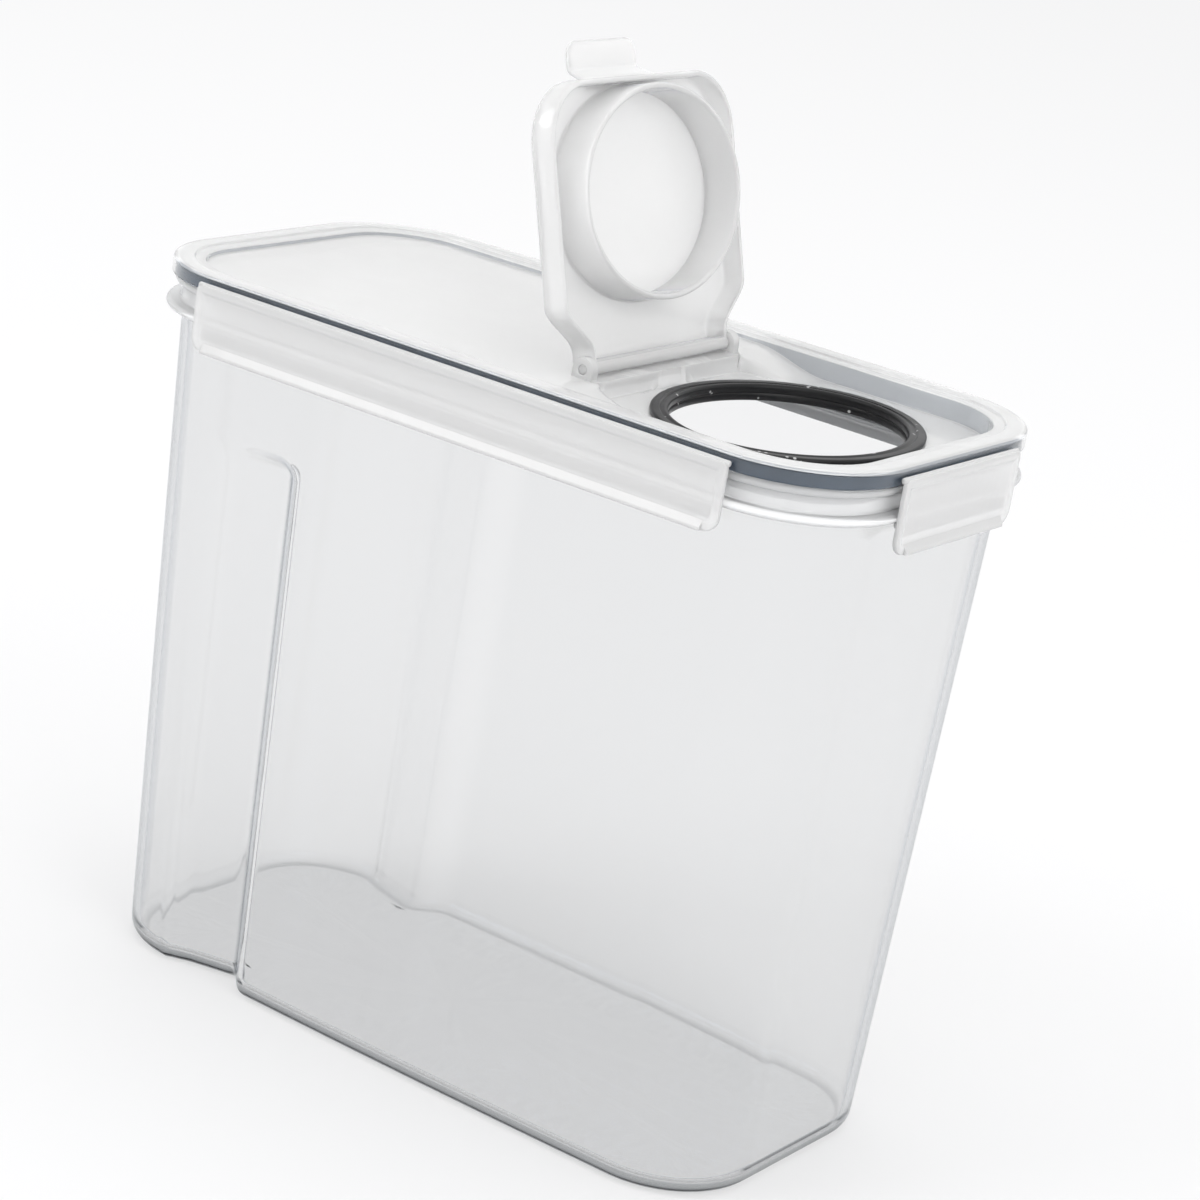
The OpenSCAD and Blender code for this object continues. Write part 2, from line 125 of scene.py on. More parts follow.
def ease(t: np.ndarray) -> np.ndarray:
    """Smooth step of a share t: 0 below 0, 1 above 1 and 3t^2 - 2t^3 between."""
    u = np.clip(t, 0.0, 1.0)
    return u * u * (3 - 2 * u)


def arc(cx: float, cy: float, r: float, a0: float, a1: float, n: int = 6) -> Points:
    """The n + 1 points (cx + r cos a, cy + r sin a) of an arc, a from a0 to a1 in degrees."""
    a = np.radians(np.linspace(a0, a1, n + 1))
    return [(cx + r * c, cy + r * s) for c, s in zip(np.cos(a), np.sin(a))]


@dataclass
class Shell:
    """Vertices in millimetres with faces, gathered before they become a mesh."""

    verts: list[np.ndarray] = field(default_factory=list)
    faces: list[tuple[np.ndarray, np.ndarray, np.ndarray]] = field(default_factory=list)
    count: int = 0

    def add(self, verts: np.ndarray, quads: np.ndarray, tris: np.ndarray, slots: np.ndarray) -> None:
        """Appends one closed surface and turns it so that its faces point outward.

        The sign of the summed tetrahedron volumes a . (b x c) tells which way it faces.

        Args:
            verts: (V, 3) points.
            quads: (Q, 4) indices.
            tris: (T, 3) indices.
            slots: (Q + T,) material slots.
        """
        fan = [tris, quads[:, [0, 1, 2]], quads[:, [0, 2, 3]]]
        t = np.concatenate([f for f in fan if len(f)])
        a, b, c = verts[t[:, 0]], verts[t[:, 1]], verts[t[:, 2]]
        if np.einsum("ij,ij->i", a, np.cross(b, c)).sum() < 0:
            quads, tris = quads[:, ::-1], tris[:, ::-1]
        self.verts.append(verts)
        self.faces.append((quads + self.count, tris + self.count, slots))
        self.count += len(verts)

    def loft(self, rings: np.ndarray, closed: bool = False,
             painted: Sequence[Iterable[int]] = ()) -> None:
        """Joins rings of equal point count; open ends get a flat fan round their middle.

        Args:
            rings: (R, N, 3) points.
            closed: Joins the last ring to the first instead of capping the ends.
            painted: Strips for each material slot from 1 on; strip k joins rings k and k + 1.
        """
        r, n, _ = rings.shape
        k = np.arange(r if closed else r - 1)[:, None]
        i = np.arange(n)[None, :]
        j = (i + 1) % n
        k2 = (k + 1) % r
        quads = np.stack([k * n + i, k * n + j, k2 * n + j, k2 * n + i], -1).reshape(-1, 4)
        verts = rings.reshape(-1, 3)
        tris = np.zeros((0, 3), int)
        if not closed:
            i, j = i[0], j[0]
            lo, hi = r * n, r * n + 1
            last = (r - 1) * n
            tris = np.concatenate([np.stack([j, i, np.full(n, lo)], -1),
                                   np.stack([last + i, last + j, np.full(n, hi)], -1)])
            verts = np.concatenate([verts, rings[:1].mean(1), rings[-1:].mean(1)])
        slots = np.zeros(len(k), int)
        for slot, strips in enumerate(painted, 1):
            slots[list(strips)] = slot
        self.add(verts, quads, tris, np.r_[np.repeat(slots, n), np.zeros(len(tris), int)])

    def mesh(self, name: str, crease: float = 38.0) -> bpy.types.Object:
        """Writes the gathered surfaces into a linked object in metres.

        Args:
            name: Name of the object.
            crease: Angle in degrees above which an edge stays sharp.

        Returns:
            The object, unplaced and unturned.
        """
        me = bpy.data.meshes.new(name)
        loops = np.concatenate([np.r_[q.ravel(), t.ravel()] for q, t, _ in self.faces])
        sizes = np.concatenate([np.repeat((4, 3), (len(q), len(t))) for q, t, _ in self.faces])
        slots = np.concatenate([s for _, _, s in self.faces])
        me.vertices.add(self.count)
        me.vertices.foreach_set("co", (np.concatenate(self.verts) * MM).ravel())
        me.loops.add(len(loops))
        me.loops.foreach_set("vertex_index", loops.astype(np.int32))
        me.polygons.add(len(sizes))
        me.polygons.foreach_set("loop_start", np.r_[0, np.cumsum(sizes)[:-1]].astype(np.int32))
        me.polygons.foreach_set("material_index", slots.astype(np.int32))
        me.update(calc_edges=True)
        me.validate()
        me.shade_smooth()
        me.set_sharp_from_angle(angle=math.radians(crease))
        obj = bpy.data.objects.new(name, me)
        bpy.context.scene.collection.objects.link(obj)
        return obj


def level(xy: np.ndarray, z: float | np.ndarray) -> np.ndarray:
    """(N, 3) points: plan points lifted to a height, one value or one for each point."""
    return np.concatenate([xy, np.broadcast_to(z, (len(xy),))[:, None]], 1)


def oval_ring(profile: Points, n: int = 220) -> np.ndarray:
    """Carries a closed profile round the pour opening's oval.

    A point is ((l + o) cos a, (w + o) sin a, z) for half sizes l and w of the clear way and a
    profile point (o, z), o outward from the clear way's edge.

    Args:
        profile: Closed loop of points.
        n: Points round the oval.

    Returns:
        (P, n, 3) rings for a closed loft.
    """
    p = np.array(profile)
    a = np.linspace(0, 2 * np.pi, n, endpoint=False)
    return np.stack([(SIZES.spout_l + p[:, :1]) * np.cos(a), (SIZES.spout_w + p[:, :1]) * np.sin(a),
                     np.repeat(p[:, 1:], n, 1)], -1)


def prism(profile: np.ndarray, x0: float, x1: float, bevel: float) -> np.ndarray:
    """Carries a closed (y, z) profile along X with rounded ends.

    At the ends the profile shrinks toward its middle by bevel (1 - cos a) while it moves by
    bevel sin a.

    Args:
        profile: (M, 2) points.
        x0: First end.
        x1: Last end.
        bevel: Radius of the rounded ends.

    Returns:
        (R, M, 3) rings for a capped loft.
    """
    mid = profile.mean(0)
    reach = np.abs(profile - mid).max()
    rings = [(x0 + bevel * (1 - math.cos(a)), 1 - bevel / reach * (1 - math.sin(a)))
             for a in np.radians([0, 30, 60, 90])]
    rings += [(x0 + x1 - x, k) for x, k in reversed(rings)]
    return np.stack([np.concatenate([np.full((len(profile), 1), x), mid + (profile - mid) * k], 1)
                     for x, k in rings])


@dataclass(frozen=True)
class Outline:
    """Rounded rectangle whose rings all share one point order, counter-clockwise.

    A point is (ux (hx - r) + nx r, uy (hy - r) + ny r) for half sizes hx, hy and radius r.
    The long sides crowd their points round the finger grip's step.
    """

    corner: int = 24
    short: int = 30
    spans: tuple[int, int, int] = (22, 30, 54)
    grip: tuple[float, float] = (-0.70, -0.50)

    def table(self) -> np.ndarray:
        """Lists the outline's points in order.

        Returns:
            (N, 5) rows of (ux, uy, nx, ny, side), side 0 at a corner, 1 short and 2 long.
        """
        rows = []
        c = np.linspace(0, np.pi / 2, self.corner + 1)
        s = np.linspace(-1, 1, self.short + 2)[1:-1]
        marks = [-1.0, *self.grip, 1.0]
        lengthways = np.concatenate([np.linspace(a, b, n, endpoint=False)
                                     for a, b, n in zip(marks, marks[1:], self.spans)])[1:]
        for k, (sx, sy) in enumerate([(1, -1), (1, 1), (-1, 1), (-1, -1)]):
            a = c + (k - 1) * np.pi / 2
            rows.append(np.stack([a * 0 + sx, a * 0 + sy, np.cos(a), np.sin(a), a * 0], -1))
            if k % 2 == 0:
                rows.append(np.stack([s * 0 + sx, s * sx, s * 0 + sx, s * 0, s * 0 + 1], -1))
            else:
                u = lengthways[::-1] if sy > 0 else lengthways
                rows.append(np.stack([u, u * 0 + sy, u * 0, u * 0 + sy, u * 0 + 2], -1))
        return np.concatenate(rows)

    def ring(self, half_l: float, half_w: float, r: float) -> np.ndarray:
        """(N, 2) points of the outline with the given half sizes and corner radius."""
        t = self.table()
        return t[:, :2] * (half_l - r, half_w - r) + t[:, 2:4] * r


OUTLINE = Outline()


def lid_ring(inset: float, z: float | np.ndarray) -> np.ndarray:
    """(N, 3) ring a given distance inside the lid's outline, z measured from the lid's top."""
    s = SIZES
    return level(OUTLINE.ring(s.lid_l / 2 - inset, s.lid_w / 2 - inset, s.lid_r - inset), s.top + z)


# ---- shader groups


@dataclass(frozen=True)
class Links:
    """Small helper that adds nodes to a tree and wires them."""

    tree: bpy.types.NodeTree

    def node(self, kind: str, **inputs: object) -> bpy.types.Node:
        """Adds a node, sets its attributes and inputs.

        Args:
            kind: Node type name.
            **inputs: Attribute values, or values or sockets for the inputs of that name with
                underscores for spaces.

        Returns:
            The node.
        """
        n = self.tree.nodes.new(kind)
        for key, value in inputs.items():
            name = key.replace("_", " ")
            if hasattr(n, key) and name not in n.inputs:
                setattr(n, key, value)
                continue
            socket = n.inputs[int(key[1:])] if key[0] == "i" and key[1:].isdigit() else n.inputs[name]
            if isinstance(value, bpy.types.NodeSocket):
                self.tree.links.new(value, socket)
            else:
                socket.default_value = value
        return n


def new_group(name: str, outputs: dict[str, str], inputs: dict[str, tuple[str, float]]) -> tuple:
    """Starts a shader node group with named sockets.

    Args:
        name: Name of the group.
        outputs: Output name to socket type.
        inputs: Input name to (socket type, default).

    Returns:
        (group tree, Links, input node, output node).
    """
    tree = bpy.data.node_groups.new(name, "ShaderNodeTree")
    for label, (kind, value) in inputs.items():
        sock = tree.interface.new_socket(label, in_out="INPUT", socket_type=kind)
        sock.default_value = value
    for label, kind in outputs.items():
        tree.interface.new_socket(label, in_out="OUTPUT", socket_type=kind)
    w = Links(tree)
    return tree, w, w.node("NodeGroupInput"), w.node("NodeGroupOutput")


def moulding_group() -> bpy.types.NodeTree:
    """Moulded plastic: flow streaks along the length, slow waviness, fine haze.

    Returns:
        Group with Haze, a 0-1 mask of cloudy patches, and Height, the slow wave plus the streaks.
    """
    tree, w, gi, go = new_group(
        "moulded_plastic", {"Haze": "NodeSocketFloat", "Height": "NodeSocketFloat"},
        {"Streaks": ("NodeSocketFloat", 0.5)})
    coord = w.node("ShaderNodeTexCoord")
    stretched = w.node("ShaderNodeMapping", Vector=coord.outputs["Object"], Scale=(0.12, 1.0, 1.0))
    streak = w.node("ShaderNodeTexNoise", Vector=stretched.outputs[0], Scale=420.0, Detail=3.0)
    wave = w.node("ShaderNodeTexNoise", Vector=coord.outputs["Object"], Scale=26.0, Detail=1.0)
    cloud = w.node("ShaderNodeTexNoise", Vector=coord.outputs["Object"], Scale=70.0, Detail=5.0)
    grow = w.node("ShaderNodeMath", operation="MULTIPLY", i0=streak.outputs["Fac"],
                  i1=gi.outputs["Streaks"])
    both = w.node("ShaderNodeMath", operation="ADD", i0=grow.outputs[0], i1=wave.outputs["Fac"])
    mask = w.node("ShaderNodeMapRange", Value=cloud.outputs["Fac"], From_Min=0.35, From_Max=0.75)
    w.tree.links.new(mask.outputs[0], go.inputs["Haze"])
    w.tree.links.new(both.outputs[0], go.inputs["Height"])
    return tree


def fleck_group() -> bpy.types.NodeTree:
    """Tiny pale flecks of dust.

    Returns:
        Group with Flecks, a mask that is 1 in the middle of some cells of a Voronoi pattern.
    """
    tree, w, gi, go = new_group(
        "dust_flecks", {"Flecks": "NodeSocketFloat"},
        {"Density": ("NodeSocketFloat", 0.1), "Scale": ("NodeSocketFloat", 500.0)})
    coord = w.node("ShaderNodeTexCoord")
    cells = w.node("ShaderNodeTexVoronoi", Vector=coord.outputs["Object"], Scale=gi.outputs["Scale"])
    dot = w.node("ShaderNodeMapRange", Value=cells.outputs["Distance"], From_Min=0.34, From_Max=0.18)
    pick = w.node("ShaderNodeSeparateColor", Color=cells.outputs["Color"])
    rare = w.node("ShaderNodeMath", operation="LESS_THAN", i0=pick.outputs[0],
                  i1=gi.outputs["Density"])
    mask = w.node("ShaderNodeMath", operation="MULTIPLY", i0=dot.outputs[0], i1=rare.outputs[0])
    w.tree.links.new(mask.outputs[0], go.inputs["Flecks"])
    return tree


def start_material(name: str) -> tuple[bpy.types.Material, Links, bpy.types.Node]:
    """Starts a material on a Principled shader.

    Args:
        name: Name of the material.

    Returns:
        (material, its Links, its Principled node).
    """
    mat = bpy.data.materials.new(name)
    mat.use_nodes = True
    return mat, Links(mat.node_tree), mat.node_tree.nodes["Principled BSDF"]


def moulded_surface(w: Links, bsdf: bpy.types.Node, group: bpy.types.NodeTree, streaks: float,
                    rough: tuple[float, float], wave: tuple[float, float]) -> bpy.types.NodeSocket:
    """Gives a Principled shader a moulded surface: cloudy roughness and a waved, streaked normal.

    Args:
        w: Links of the material.
        bsdf: Principled node.
        group: Moulded plastic group.
        streaks: Share of the flow streaks in the height.
        rough: Roughness in the clearest and in the cloudiest patches.
        wave: Strength and distance of the bump.

    Returns:
        The haze mask.
    """
    mould = w.node("ShaderNodeGroup", node_tree=group, Streaks=streaks)
    cloud = w.node("ShaderNodeMapRange", Value=mould.outputs["Haze"],
                   To_Min=rough[0], To_Max=rough[1])
    w.tree.links.new(cloud.outputs[0], bsdf.inputs["Roughness"])
    bump = w.node("ShaderNodeBump", Strength=wave[0], Distance=wave[1],
                  Height=mould.outputs["Height"])
    w.tree.links.new(bump.outputs[0], bsdf.inputs["Normal"])
    return mould.outputs["Haze"]


def blend(w: Links, share: bpy.types.NodeSocket, first: Colour | bpy.types.NodeSocket,
          second: Colour) -> bpy.types.NodeSocket:
    """Mixes two colours.

    Args:
        w: Links of the material.
        share: Share of the second colour.
        first: Colour, or the socket of one.
        second: Colour.

    Returns:
        The mixed colour.
    """
    mix = w.node("ShaderNodeMix", data_type="RGBA", Factor=share)
    if isinstance(first, bpy.types.NodeSocket):
        w.tree.links.new(first, mix.inputs[6])
    else:
        mix.inputs[6].default_value = (*first, 1)
    mix.inputs[7].default_value = (*second, 1)
    return mix.outputs[2]


# ---- finishes


@dataclass(frozen=True)
class ClearPlastic:
    """Polished see-through or milky plastic with absorption in its thickness, plus painted shade:
    darker edge colours at grazing angles and a gleam tint on reflections.
    """

    name: str
    tint: Colour = (1.0, 1.0, 1.0)
    roughness: float = 0.03
    haze: float = 0.05
    ior: float = 1.46
    transmission: float = 1.0
    absorb: Colour = (1.0, 1.0, 1.0)
    density: float = 0.0
    wave: float = 0.1
    wave_h: float = 0.0001
    streaks: float = 0.3
    gloss: float = 0.0
    gloss_rough: float = 0.06
    # Painted shade: edge is the colour that the base colour fades to at grazing angles, from the
    # facing share grazing_shade_from on; gleam tints all reflections.
    edge: Colour = (1.0, 1.0, 1.0)
    grazing_shade_from: float = 0.55
    gleam: Colour = (1.0, 1.0, 1.0)

    def build(self, groups: Groups) -> bpy.types.Material:
        """Makes the material.

        Args:
            groups: Shared node groups by name.

        Returns:
            The material.
        """
        mat, w, bsdf = start_material(self.name)
        links = w.tree.links
        # Painted shade: toward grazing angles the base colour runs from the tint to the darker edge
        # colour, which draws the outlines.
        graze = w.node("ShaderNodeLayerWeight", Blend=0.5)
        rim = w.node("ShaderNodeMapRange", Value=graze.outputs["Facing"],
                     From_Min=self.grazing_shade_from, From_Max=1.0)
        links.new(blend(w, rim.outputs[0], self.tint, self.edge), bsdf.inputs["Base Color"])
        # A grey-blue gleam, set as the specular tint, darkens the reflections: painted shade on the
        # edges.
        constants = {"IOR": self.ior, "Specular Tint": (*self.gleam, 1), "Coat Weight": self.gloss,
                     "Coat Roughness": self.gloss_rough, "Transmission Weight": self.transmission}
        for label, value in constants.items():
            bsdf.inputs[label].default_value = value
        moulded_surface(w, bsdf, groups["mould"], self.streaks,
                        (self.roughness, self.roughness + self.haze), (self.wave, self.wave_h))
        if self.density > 0:
            fog = w.node("ShaderNodeVolumeAbsorption", Color=(*self.absorb, 1), Density=self.density)
            links.new(fog.outputs[0], w.tree.nodes["Material Output"].inputs["Volume"])
        return mat


@dataclass(frozen=True)
class Rubber:
    """Silicone or rubber with a slight bloom and dust flecks."""

    name: str
    colour: Colour
    bloom: Colour
    roughness: float
    specular: float
    flecks: float
    fleck_scale: float = 620.0
    dust: Colour = (0.5, 0.5, 0.5)
    haze: float = 0.12
    wave: float = 0.15
    wave_h: float = 0.0003
    streaks: float = 0.2

    def build(self, groups: Groups) -> bpy.types.Material:
        """Makes the material.

        Args:
            groups: Shared node groups by name.

        Returns:
            The material.
        """
        mat, w, bsdf = start_material(self.name)
        bsdf.inputs["Specular IOR Level"].default_value = self.specular
        haze = moulded_surface(w, bsdf, groups["mould"], self.streaks,
                               (self.roughness, self.roughness + self.haze), (self.wave, self.wave_h))
        dust = w.node("ShaderNodeGroup", node_tree=groups["fleck"], Density=self.flecks,
                      Scale=self.fleck_scale)
        shade = blend(w, haze, self.colour, self.bloom)
        dotted = blend(w, dust.outputs["Flecks"], shade, self.dust)
        w.tree.links.new(dotted, bsdf.inputs["Base Color"])
        return mat


class Finish(Enum):
    """Named finishes of the object's pieces."""

    # Each edge colour is painted shade, taken at grazing angles; the container's gleam is painted
    # shade on its reflections.
    CONTAINER = ClearPlastic(
        "clear_container", tint=(0.99, 0.99, 0.99), roughness=0.01, haze=0.05, wave=0.06,
        absorb=(0.49, 0.505, 0.515), density=80.0,
        edge=(0.26, 0.32, 0.41), grazing_shade_from=0.6, gleam=(0.34, 0.4, 0.5))
    MOUTH = ClearPlastic(
        "frosted_mouth", tint=(0.97, 0.975, 0.98), roughness=0.1, haze=0.08, transmission=0.5,
        edge=(0.7, 0.73, 0.78), grazing_shade_from=0.75)
    LID = ClearPlastic(
        "milky_lid", tint=(0.93, 0.93, 0.93), roughness=0.12, haze=0.08, transmission=0.45,
        wave=0.15, streaks=0.6, gloss=0.3, edge=(0.62, 0.66, 0.72), grazing_shade_from=0.8)
    SKIRT = ClearPlastic(
        "clear_skirt", tint=(0.99, 0.99, 0.995), roughness=0.03, haze=0.05, wave=0.08,
        absorb=(0.35, 0.5, 0.66), density=8.0)
    RIM_WALL = ClearPlastic(
        "milky_rim_wall", tint=(0.93, 0.965, 1.0), roughness=0.06, haze=0.06, transmission=0.68)
    PLUG_WALL = ClearPlastic(
        "milky_plug_wall", tint=(0.93, 0.935, 0.945), roughness=0.12, haze=0.08, transmission=0.12)
    CAP = ClearPlastic(
        "milky_cap", tint=(0.99, 0.99, 0.99), roughness=0.1, haze=0.08, transmission=0.48,
        wave=0.12, gloss=0.3, edge=(0.84, 0.86, 0.93), grazing_shade_from=0.72)
    FLAP = ClearPlastic(
        "milky_flap", tint=(0.95, 0.95, 0.95), roughness=0.1, haze=0.08, transmission=0.45,
        wave=0.3, streaks=1.5, gloss=0.4, edge=(0.68, 0.71, 0.78), grazing_shade_from=0.7)
    GASKET = Rubber("blue_silicone", (0.060, 0.092, 0.135), (0.085, 0.125, 0.175), 0.38, 0.5, 0.0)
    SEAL = Rubber("black_rubber", (0.006, 0.006, 0.007), (0.012, 0.012, 0.013), 0.28, 0.25, 0.06)


@dataclass
class Wardrobe:
    """Builds each finish once and hands it out."""

    groups: Groups = field(default_factory=dict)
    built: dict[Finish, bpy.types.Material] = field(default_factory=dict)

    def get(self, finish: Finish) -> bpy.types.Material:
        """Hands out a finish.

        Args:
            finish: Which one.

        Returns:
            Its material, made on first use.
        """
        if not self.groups:
            self.groups = {"mould": moulding_group(), "fleck": fleck_group()}
        if finish not in self.built:
            self.built[finish] = finish.value.build(self.groups)
        return self.built[finish]


@dataclass
class Piece:
    """One visible piece: its surfaces, its finishes in slot order, and what it stands for.

    It rides on a CAD body, stands for a CAD node and names a material slot of the record.
    """

    name: ClassVar[str]
    body: ClassVar[str] = "keeper"
    node: ClassVar[str]
    slot: ClassVar[str] = "milky_plastic"
    finishes: ClassVar[tuple[Finish, ...]]
    shell: Shell = field(default_factory=Shell, init=False)

    def model(self) -> None:
        """Adds the piece's surfaces to its shell."""
        raise NotImplementedError

    def build(self, closet: Wardrobe) -> bpy.types.Object:
        """Makes the piece, gives it its materials, ties it to its body and hides the CAD node it
        stands for.

        Args:
            closet: Where the materials come from.

        Returns:
            The piece.
        """
        self.model()
        obj = self.shell.mesh(self.name)
        for finish in self.finishes:
            obj.data.materials.append(closet.get(finish))
        body, node, slot = self.body, self.node, self.slot
        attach(obj, body)
        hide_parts(node)
        LOG.info("piece %s: %d faces on body %s", obj.name, len(obj.data.polygons), body)
        return obj


# ---- container


@dataclass
class Container(Piece):
    """Clear tapered box with a flange, a beaded mouth and two finger grips."""

    name = "container_shell"
    node = "container_body"
    slot = "clear_plastic"
    finishes = (Finish.CONTAINER, Finish.MOUTH)

    base_t: float = 3.0
    foot_r: float = 5.0
    foot_corner_r: float = 29.0
    taper_l: float = 4.6
    taper_w: float = 5.0
    bow: float = 1.0
    bead_t: float = 2.6
    bead_in: float = 1.2
    grip_d: float = 7.6
    grip_top: float = 168.5
    grip_x: float = 55.5
    step_l: float = 11.0
    grip_fade: float = 9.0
    grip_start: float = 12.0
    swell_rate: float = 6.0
    flat_from: float = 8.0
    throat_r: float = 1.6
    neck_r: float = 0.8
    lip_r: float = 0.7
    under: tuple[float, ...] = (27.0, 20.0, 13.0, 8.0)
    floor: tuple[float, ...] = (7.0, 12.0, 18.0, 25.0)

    def grip(self, x: np.ndarray, z: float) -> np.ndarray:
        """Depth of the finger grip: rises straight from the rear corner, falls by an eased step.

        Args:
            x: Places along the side.
            z: Height of the ring.

        Returns:
            Depth at each place.
        """
        back = -(SIZES.lid_l / 2 - SIZES.lid_r)
        s0 = -self.grip_x - self.step_l / 2
        rise = np.clip((x - back) / (s0 - back), 0, 1)
        rise = rise * ease((x - back) / self.grip_start)
        along = np.where(x < s0, rise, 1 - ease((x - s0) / self.step_l))
        return self.grip_d * along * float(ease(np.array((self.grip_top - z) / self.grip_fade)))

    def ring(self, inset_l: float, inset_w: float, r: float, z: float,
             shape: float, swell: float) -> np.ndarray:
        """One ring of the container.

        Args:
            inset_l: Distance of the ends inside the lid's outline.
            inset_w: Distance of the sides inside the lid's outline.
            r: Corner radius.
            z: Height.
            shape: Share of the finger grip, 0 above the flange.
            swell: Share of the sides' outward bow.

        Returns:
            (N, 3) points.
        """
        s = SIZES
        half_l = s.lid_l / 2 - inset_l
        half_w = s.lid_w / 2 - inset_w
        t = OUTLINE.table()
        xy = OUTLINE.ring(half_l, half_w, r)
        side = t[:, 4] == 2
        u = np.clip(1 - (xy[:, 0] / (half_l - r)) ** 2, 0, 1)
        out = swell * self.bow * u - shape * self.grip(xy[:, 0], z)
        xy[:, 1] += np.where(side, t[:, 3] * out, 0)
        return level(xy, z)

    def wall(self, z: float, depth: float) -> np.ndarray:
        """Ring of the wall: the taper grows evenly from the flange down.

        Grip and bow fade out where the ring runs inward under the base or over the floor.

        Args:
            z: Height.
            depth: Distance inside the outer face.

        Returns:
            (N, 3) points.
        """
        s = SIZES
        top = s.top - s.flange_drop
        t = max(0.0, (top - z) / top)
        r = (s.lid_r - s.neck_in) * (1 - t) + self.foot_corner_r * t
        swell = float(ease(np.array(t * self.swell_rate)))
        flat = float(1 - ease(np.array((depth - self.flat_from) / self.flat_from)))
        return self.ring(s.neck_in + self.taper_l * t + depth, s.neck_in + self.taper_w * t + depth,
                         r - depth, z, flat, swell * flat)

    def rim(self, z: float, inset: float) -> np.ndarray:
        """Ring at or above the flange, a given distance inside the lid's outline."""
        return self.ring(inset, inset, SIZES.lid_r - inset, z, 0.0, 0.0)

    def model(self) -> None:
        """Lofts outer rings up over flange and mouth and inner rings down to the floor."""
        s = SIZES
        fz = s.top - s.flange_drop
        throat = fz - self.throat_r
        fade_z = self.grip_top - self.grip_fade
        br, fr = self.bead_t / 2, s.flange_t / 2
        lr, nr, tr = self.lip_r, self.neck_r, self.throat_r
        sides = np.r_[np.linspace(self.foot_r, fade_z, 26)[1:-1],
                      np.linspace(fade_z, self.grip_top, 12),
                      np.linspace(self.grip_top, throat, 8)[1:]]
        foot, sole = self.foot_r, self.foot_r - s.wall / 2
        neck = s.neck_in - tr
        inside = s.neck_in + s.wall
        outer = [*((d, 0.0) for d in self.under), *arc(foot, foot, foot, 270, 180, 8),
                 *((0.0, z) for z in sides)]
        mouth = [*arc(neck, throat, tr, 22.5, 90, 3),
                 *arc(fr - s.flange_out, fz + fr, fr, 270, 90, 8),
                 *arc(neck, fz + s.flange_t + nr, nr, -90, 0, 4),
                 (neck + nr, s.mouth - self.bead_t - 0.3),
                 *arc(self.bead_in + br, s.mouth - br, br, 270, 90, 8),
                 *arc(inside - lr, s.mouth - lr, lr, 90, 0, 4), (inside, fz)]
        inner = [*((s.wall, z) for z in sides[::-1]),
                 *arc(s.wall + sole, self.base_t + sole, sole, 180, 270, 8),
                 *((s.wall + d, self.base_t) for d in self.floor)]
        rings = [self.wall(z, d) for d, z in outer]
        rings += [self.rim(z, d) for d, z in mouth]
        rings += [self.wall(z, d) for d, z in inner]
        low_end = len(outer)
        mouth_end = low_end + len(mouth)
        self.shell.loft(np.stack(rings), painted=[range(low_end, mouth_end - 1)])


# ---- lid


